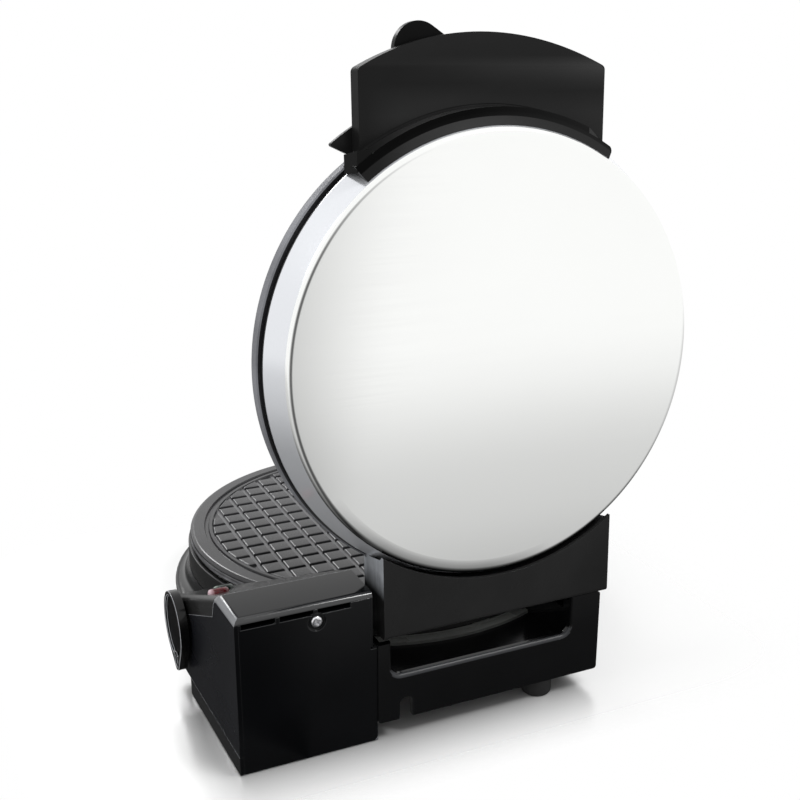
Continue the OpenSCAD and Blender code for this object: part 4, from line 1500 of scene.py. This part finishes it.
@dataclass
class Studio:
    """The pale floor, the soft light and the camera.

    The lengths are in metres, but the lens is in millimetres, and the angles are in degrees.
    """

    camera_at: Triple = (0.213473, 0.505237, 0.2862)
    yaw: float = -24.52
    pitch: float = 17.39
    lens: float = 50.21
    floor_r: float = 3.0
    floor_steps: int = 64
    ambient: float = 0.62
    room_at: Triple = (0.14, 0.99, 0.0)
    room_from: Triple = (0.08, 0.12, 0.0)
    room_edge: float = 0.85
    room_core: float = 0.99
    room_level: float = 0.12
    footprint_half: Triple = (0.112, 0.118, 0.0)
    footprint_pull: Triple = (1.1, 2.2, 1.0)
    fade_gap: float = 0.09
    polish_stops: tuple[Pair, ...] = ((0.0, 0.60), (0.04, 0.42), (0.08, 0.12), (0.11, 0.0))
    # grey levels of the floor as seen in reflections: a painted shadow, darkest at the footprint
    mirror_shadow_stops: tuple[Pair, ...] = (
        (0.0, 0.08), (0.06, 0.14), (0.15, 0.5), (0.25, 0.63),
        (0.38, 0.68), (0.5, 0.79), (0.62, 0.91), (0.85, 1.0))
    lamp_aim: Triple = (0.0, 0.0, 0.12)
    lamps: tuple[Lamp, ...] = (
        Lamp("key_lamp", (-0.7, 0.7, 1.5), 0.4, 11.0),
        Lamp("side_lamp", (1.2, 0.0, 1.1), 0.6, 3.0),
        Lamp("front_lamp", (0.2, -1.4, 1.1), 0.5, 7.0))

    def build(self) -> None:
        """Sets up everything round the machine."""
        self._world()
        self._floor()
        self._lamps()
        self._camera()
        bpy.context.scene.view_settings.view_transform = "Standard"

    def _world(self) -> None:
        """Makes a white background over a plain ambient light, with a dim room behind the camera."""
        world = bpy.data.worlds.new("studio_world")
        world.use_nodes = True
        bpy.context.scene.world = world
        graph = Graph(world.node_tree)
        mirror = graph.light_path("Is Glossy Ray")
        seen = graph.light_path("Is Camera Ray") + graph.light_path("Is Transmission Ray")
        towards = graph.node("ShaderNodeTexCoord", out="Generated")
        level = seen + mirror * self._room(graph, towards) + (1.0 - seen - mirror) * self.ambient
        back = graph.node("ShaderNodeBackground", sockets={"Color": grey(1.0), "Strength": level})
        graph.node("ShaderNodeOutputWorld", sockets={"Surface": back})

    def _room(self, graph: Graph, towards: Wire) -> Wire:
        """Returns how bright the studio looks in a direction: dim behind the camera, white elsewhere."""
        turn = graph.vector("DOT_PRODUCT", graph.vector("NORMALIZE", towards), self.room_at, out="Value")
        return graph.band(turn, self.room_edge, self.room_core, 1.0, self.room_level)

    def _footprint_gap(self, graph: Graph) -> Wire:
        """Measures how far a point of the floor is from the machine's footprint.

        Args:
            graph: The material's node tree.

        Returns:
            The gap in metres, stretched more behind the machine than beside it.
        """
        spot = graph.node("ShaderNodeTexCoord", out="Object")
        beyond = graph.vector("SUBTRACT", graph.vector("ABSOLUTE", spot), self.footprint_half)
        outside = graph.vector("MAXIMUM", beyond, (0.0, 0.0, 0.0))
        return graph.vector("LENGTH", graph.vector("MULTIPLY", outside, self.footprint_pull), out="Value")

    def _floor(self) -> None:
        """Makes the floor's disc."""
        bm = bmesh.new()
        bmesh.ops.create_circle(bm, cap_ends=True, radius=self.floor_r, segments=self.floor_steps)
        floor = linked("floor", meshed("floor", bm))
        floor.data.materials.append(self._floor_material())

    def _floor_material(self) -> bpy.types.Material:
        """Makes a white that is glossy round the machine and melts into the background; glossy rays see a glowing
        white with a painted shadow towards the machine.

        Returns:
            The material.
        """
        made = bpy.data.materials.new("floor_white")
        made.use_nodes = True
        graph = Graph(made.node_tree)
        gap = self._footprint_gap(graph)
        polish = graph.ramp(gap, greys(self.polish_stops))
        cloth = graph.node("ShaderNodeBsdfPrincipled", sockets={
            "Base Color": grey(0.93), "Roughness": 0.5, "Specular IOR Level": 0.1})
        glass = graph.node("ShaderNodeBsdfGlossy", sockets={"Color": grey(0.97), "Roughness": 0.24})
        near = graph.node("ShaderNodeMixShader", sockets={0: polish, 1: cloth, 2: glass})
        clear = graph.node("ShaderNodeBsdfTransparent")
        fade = graph.band(gap, 0.0, self.fade_gap)
        shown = graph.node("ShaderNodeMixShader", sockets={0: fade, 1: near, 2: clear})
        # painted shadow: the floor seen in reflections darkens towards the machine's footprint
        depth = graph.ramp(gap * 0.5, greys(self.mirror_shadow_stops))
        spot = graph.node("ShaderNodeTexCoord", out="Object")
        beyond = graph.vector("SUBTRACT", spot, self.room_from)
        room = self._room(graph, beyond)
        mirrored_shadow = graph.node("ShaderNodeEmission", sockets={"Color": depth, "Strength": room})
        whole = graph.node("ShaderNodeMixShader", sockets={
            0: graph.light_path("Is Glossy Ray"), 1: shown, 2: mirrored_shadow})
        graph.node("ShaderNodeOutputMaterial", sockets={"Surface": whole})
        return made

    def _lamps(self) -> None:
        """Hangs the lamps, all aimed at the machine."""
        for lamp in self.lamps:
            light = bpy.data.lights.new(lamp.name, "AREA")
            light.size = lamp.size
            light.energy = lamp.power
            spot = Vector(lamp.spot)
            aim(linked(lamp.name, light), spot, Vector(self.lamp_aim) - spot)

    def _camera(self) -> None:
        """Places the camera where the picture was taken from."""
        lens = bpy.data.cameras.new("camera")
        lens.lens = self.lens
        lens.sensor_width = 36.0
        lens.clip_start = 0.02
        yaw, pitch = math.radians(self.yaw), math.radians(self.pitch)
        ahead = Vector((math.sin(yaw) * math.cos(pitch), -math.cos(yaw) * math.cos(pitch), -math.sin(pitch)))
        made = linked("camera", lens)
        aim(made, Vector(self.camera_at), ahead)
        bpy.context.scene.camera = made


def node_bodies() -> dict[str, Body]:
    """Returns each CAD node's body."""
    groups = frame["record"]["behaviour"]["bodies"]
    return {node: Body(name) for name, nodes in groups.items() for node in nodes}


def node_slots() -> dict[str, Slot]:
    """Returns each CAD node's material slot."""
    return {part["node"]: Slot(part["material_slot"]) for part in frame["record"]["subparts"]}


def main() -> None:
    """Builds the studio and the machine in order."""
    logging.basicConfig(level=logging.INFO, format="%(name)s: %(message)s")
    place, bodies, slots = Place(), node_bodies(), node_slots()
    Studio().build()
    Carried().dress(slots)
    SteelCover().build(place)
    Plates().build(place)
    Mouldings(place).build(bodies, slots)
    Visor().build(place)
    DialRib().build(slots)


if __name__ == "__main__":
    main()
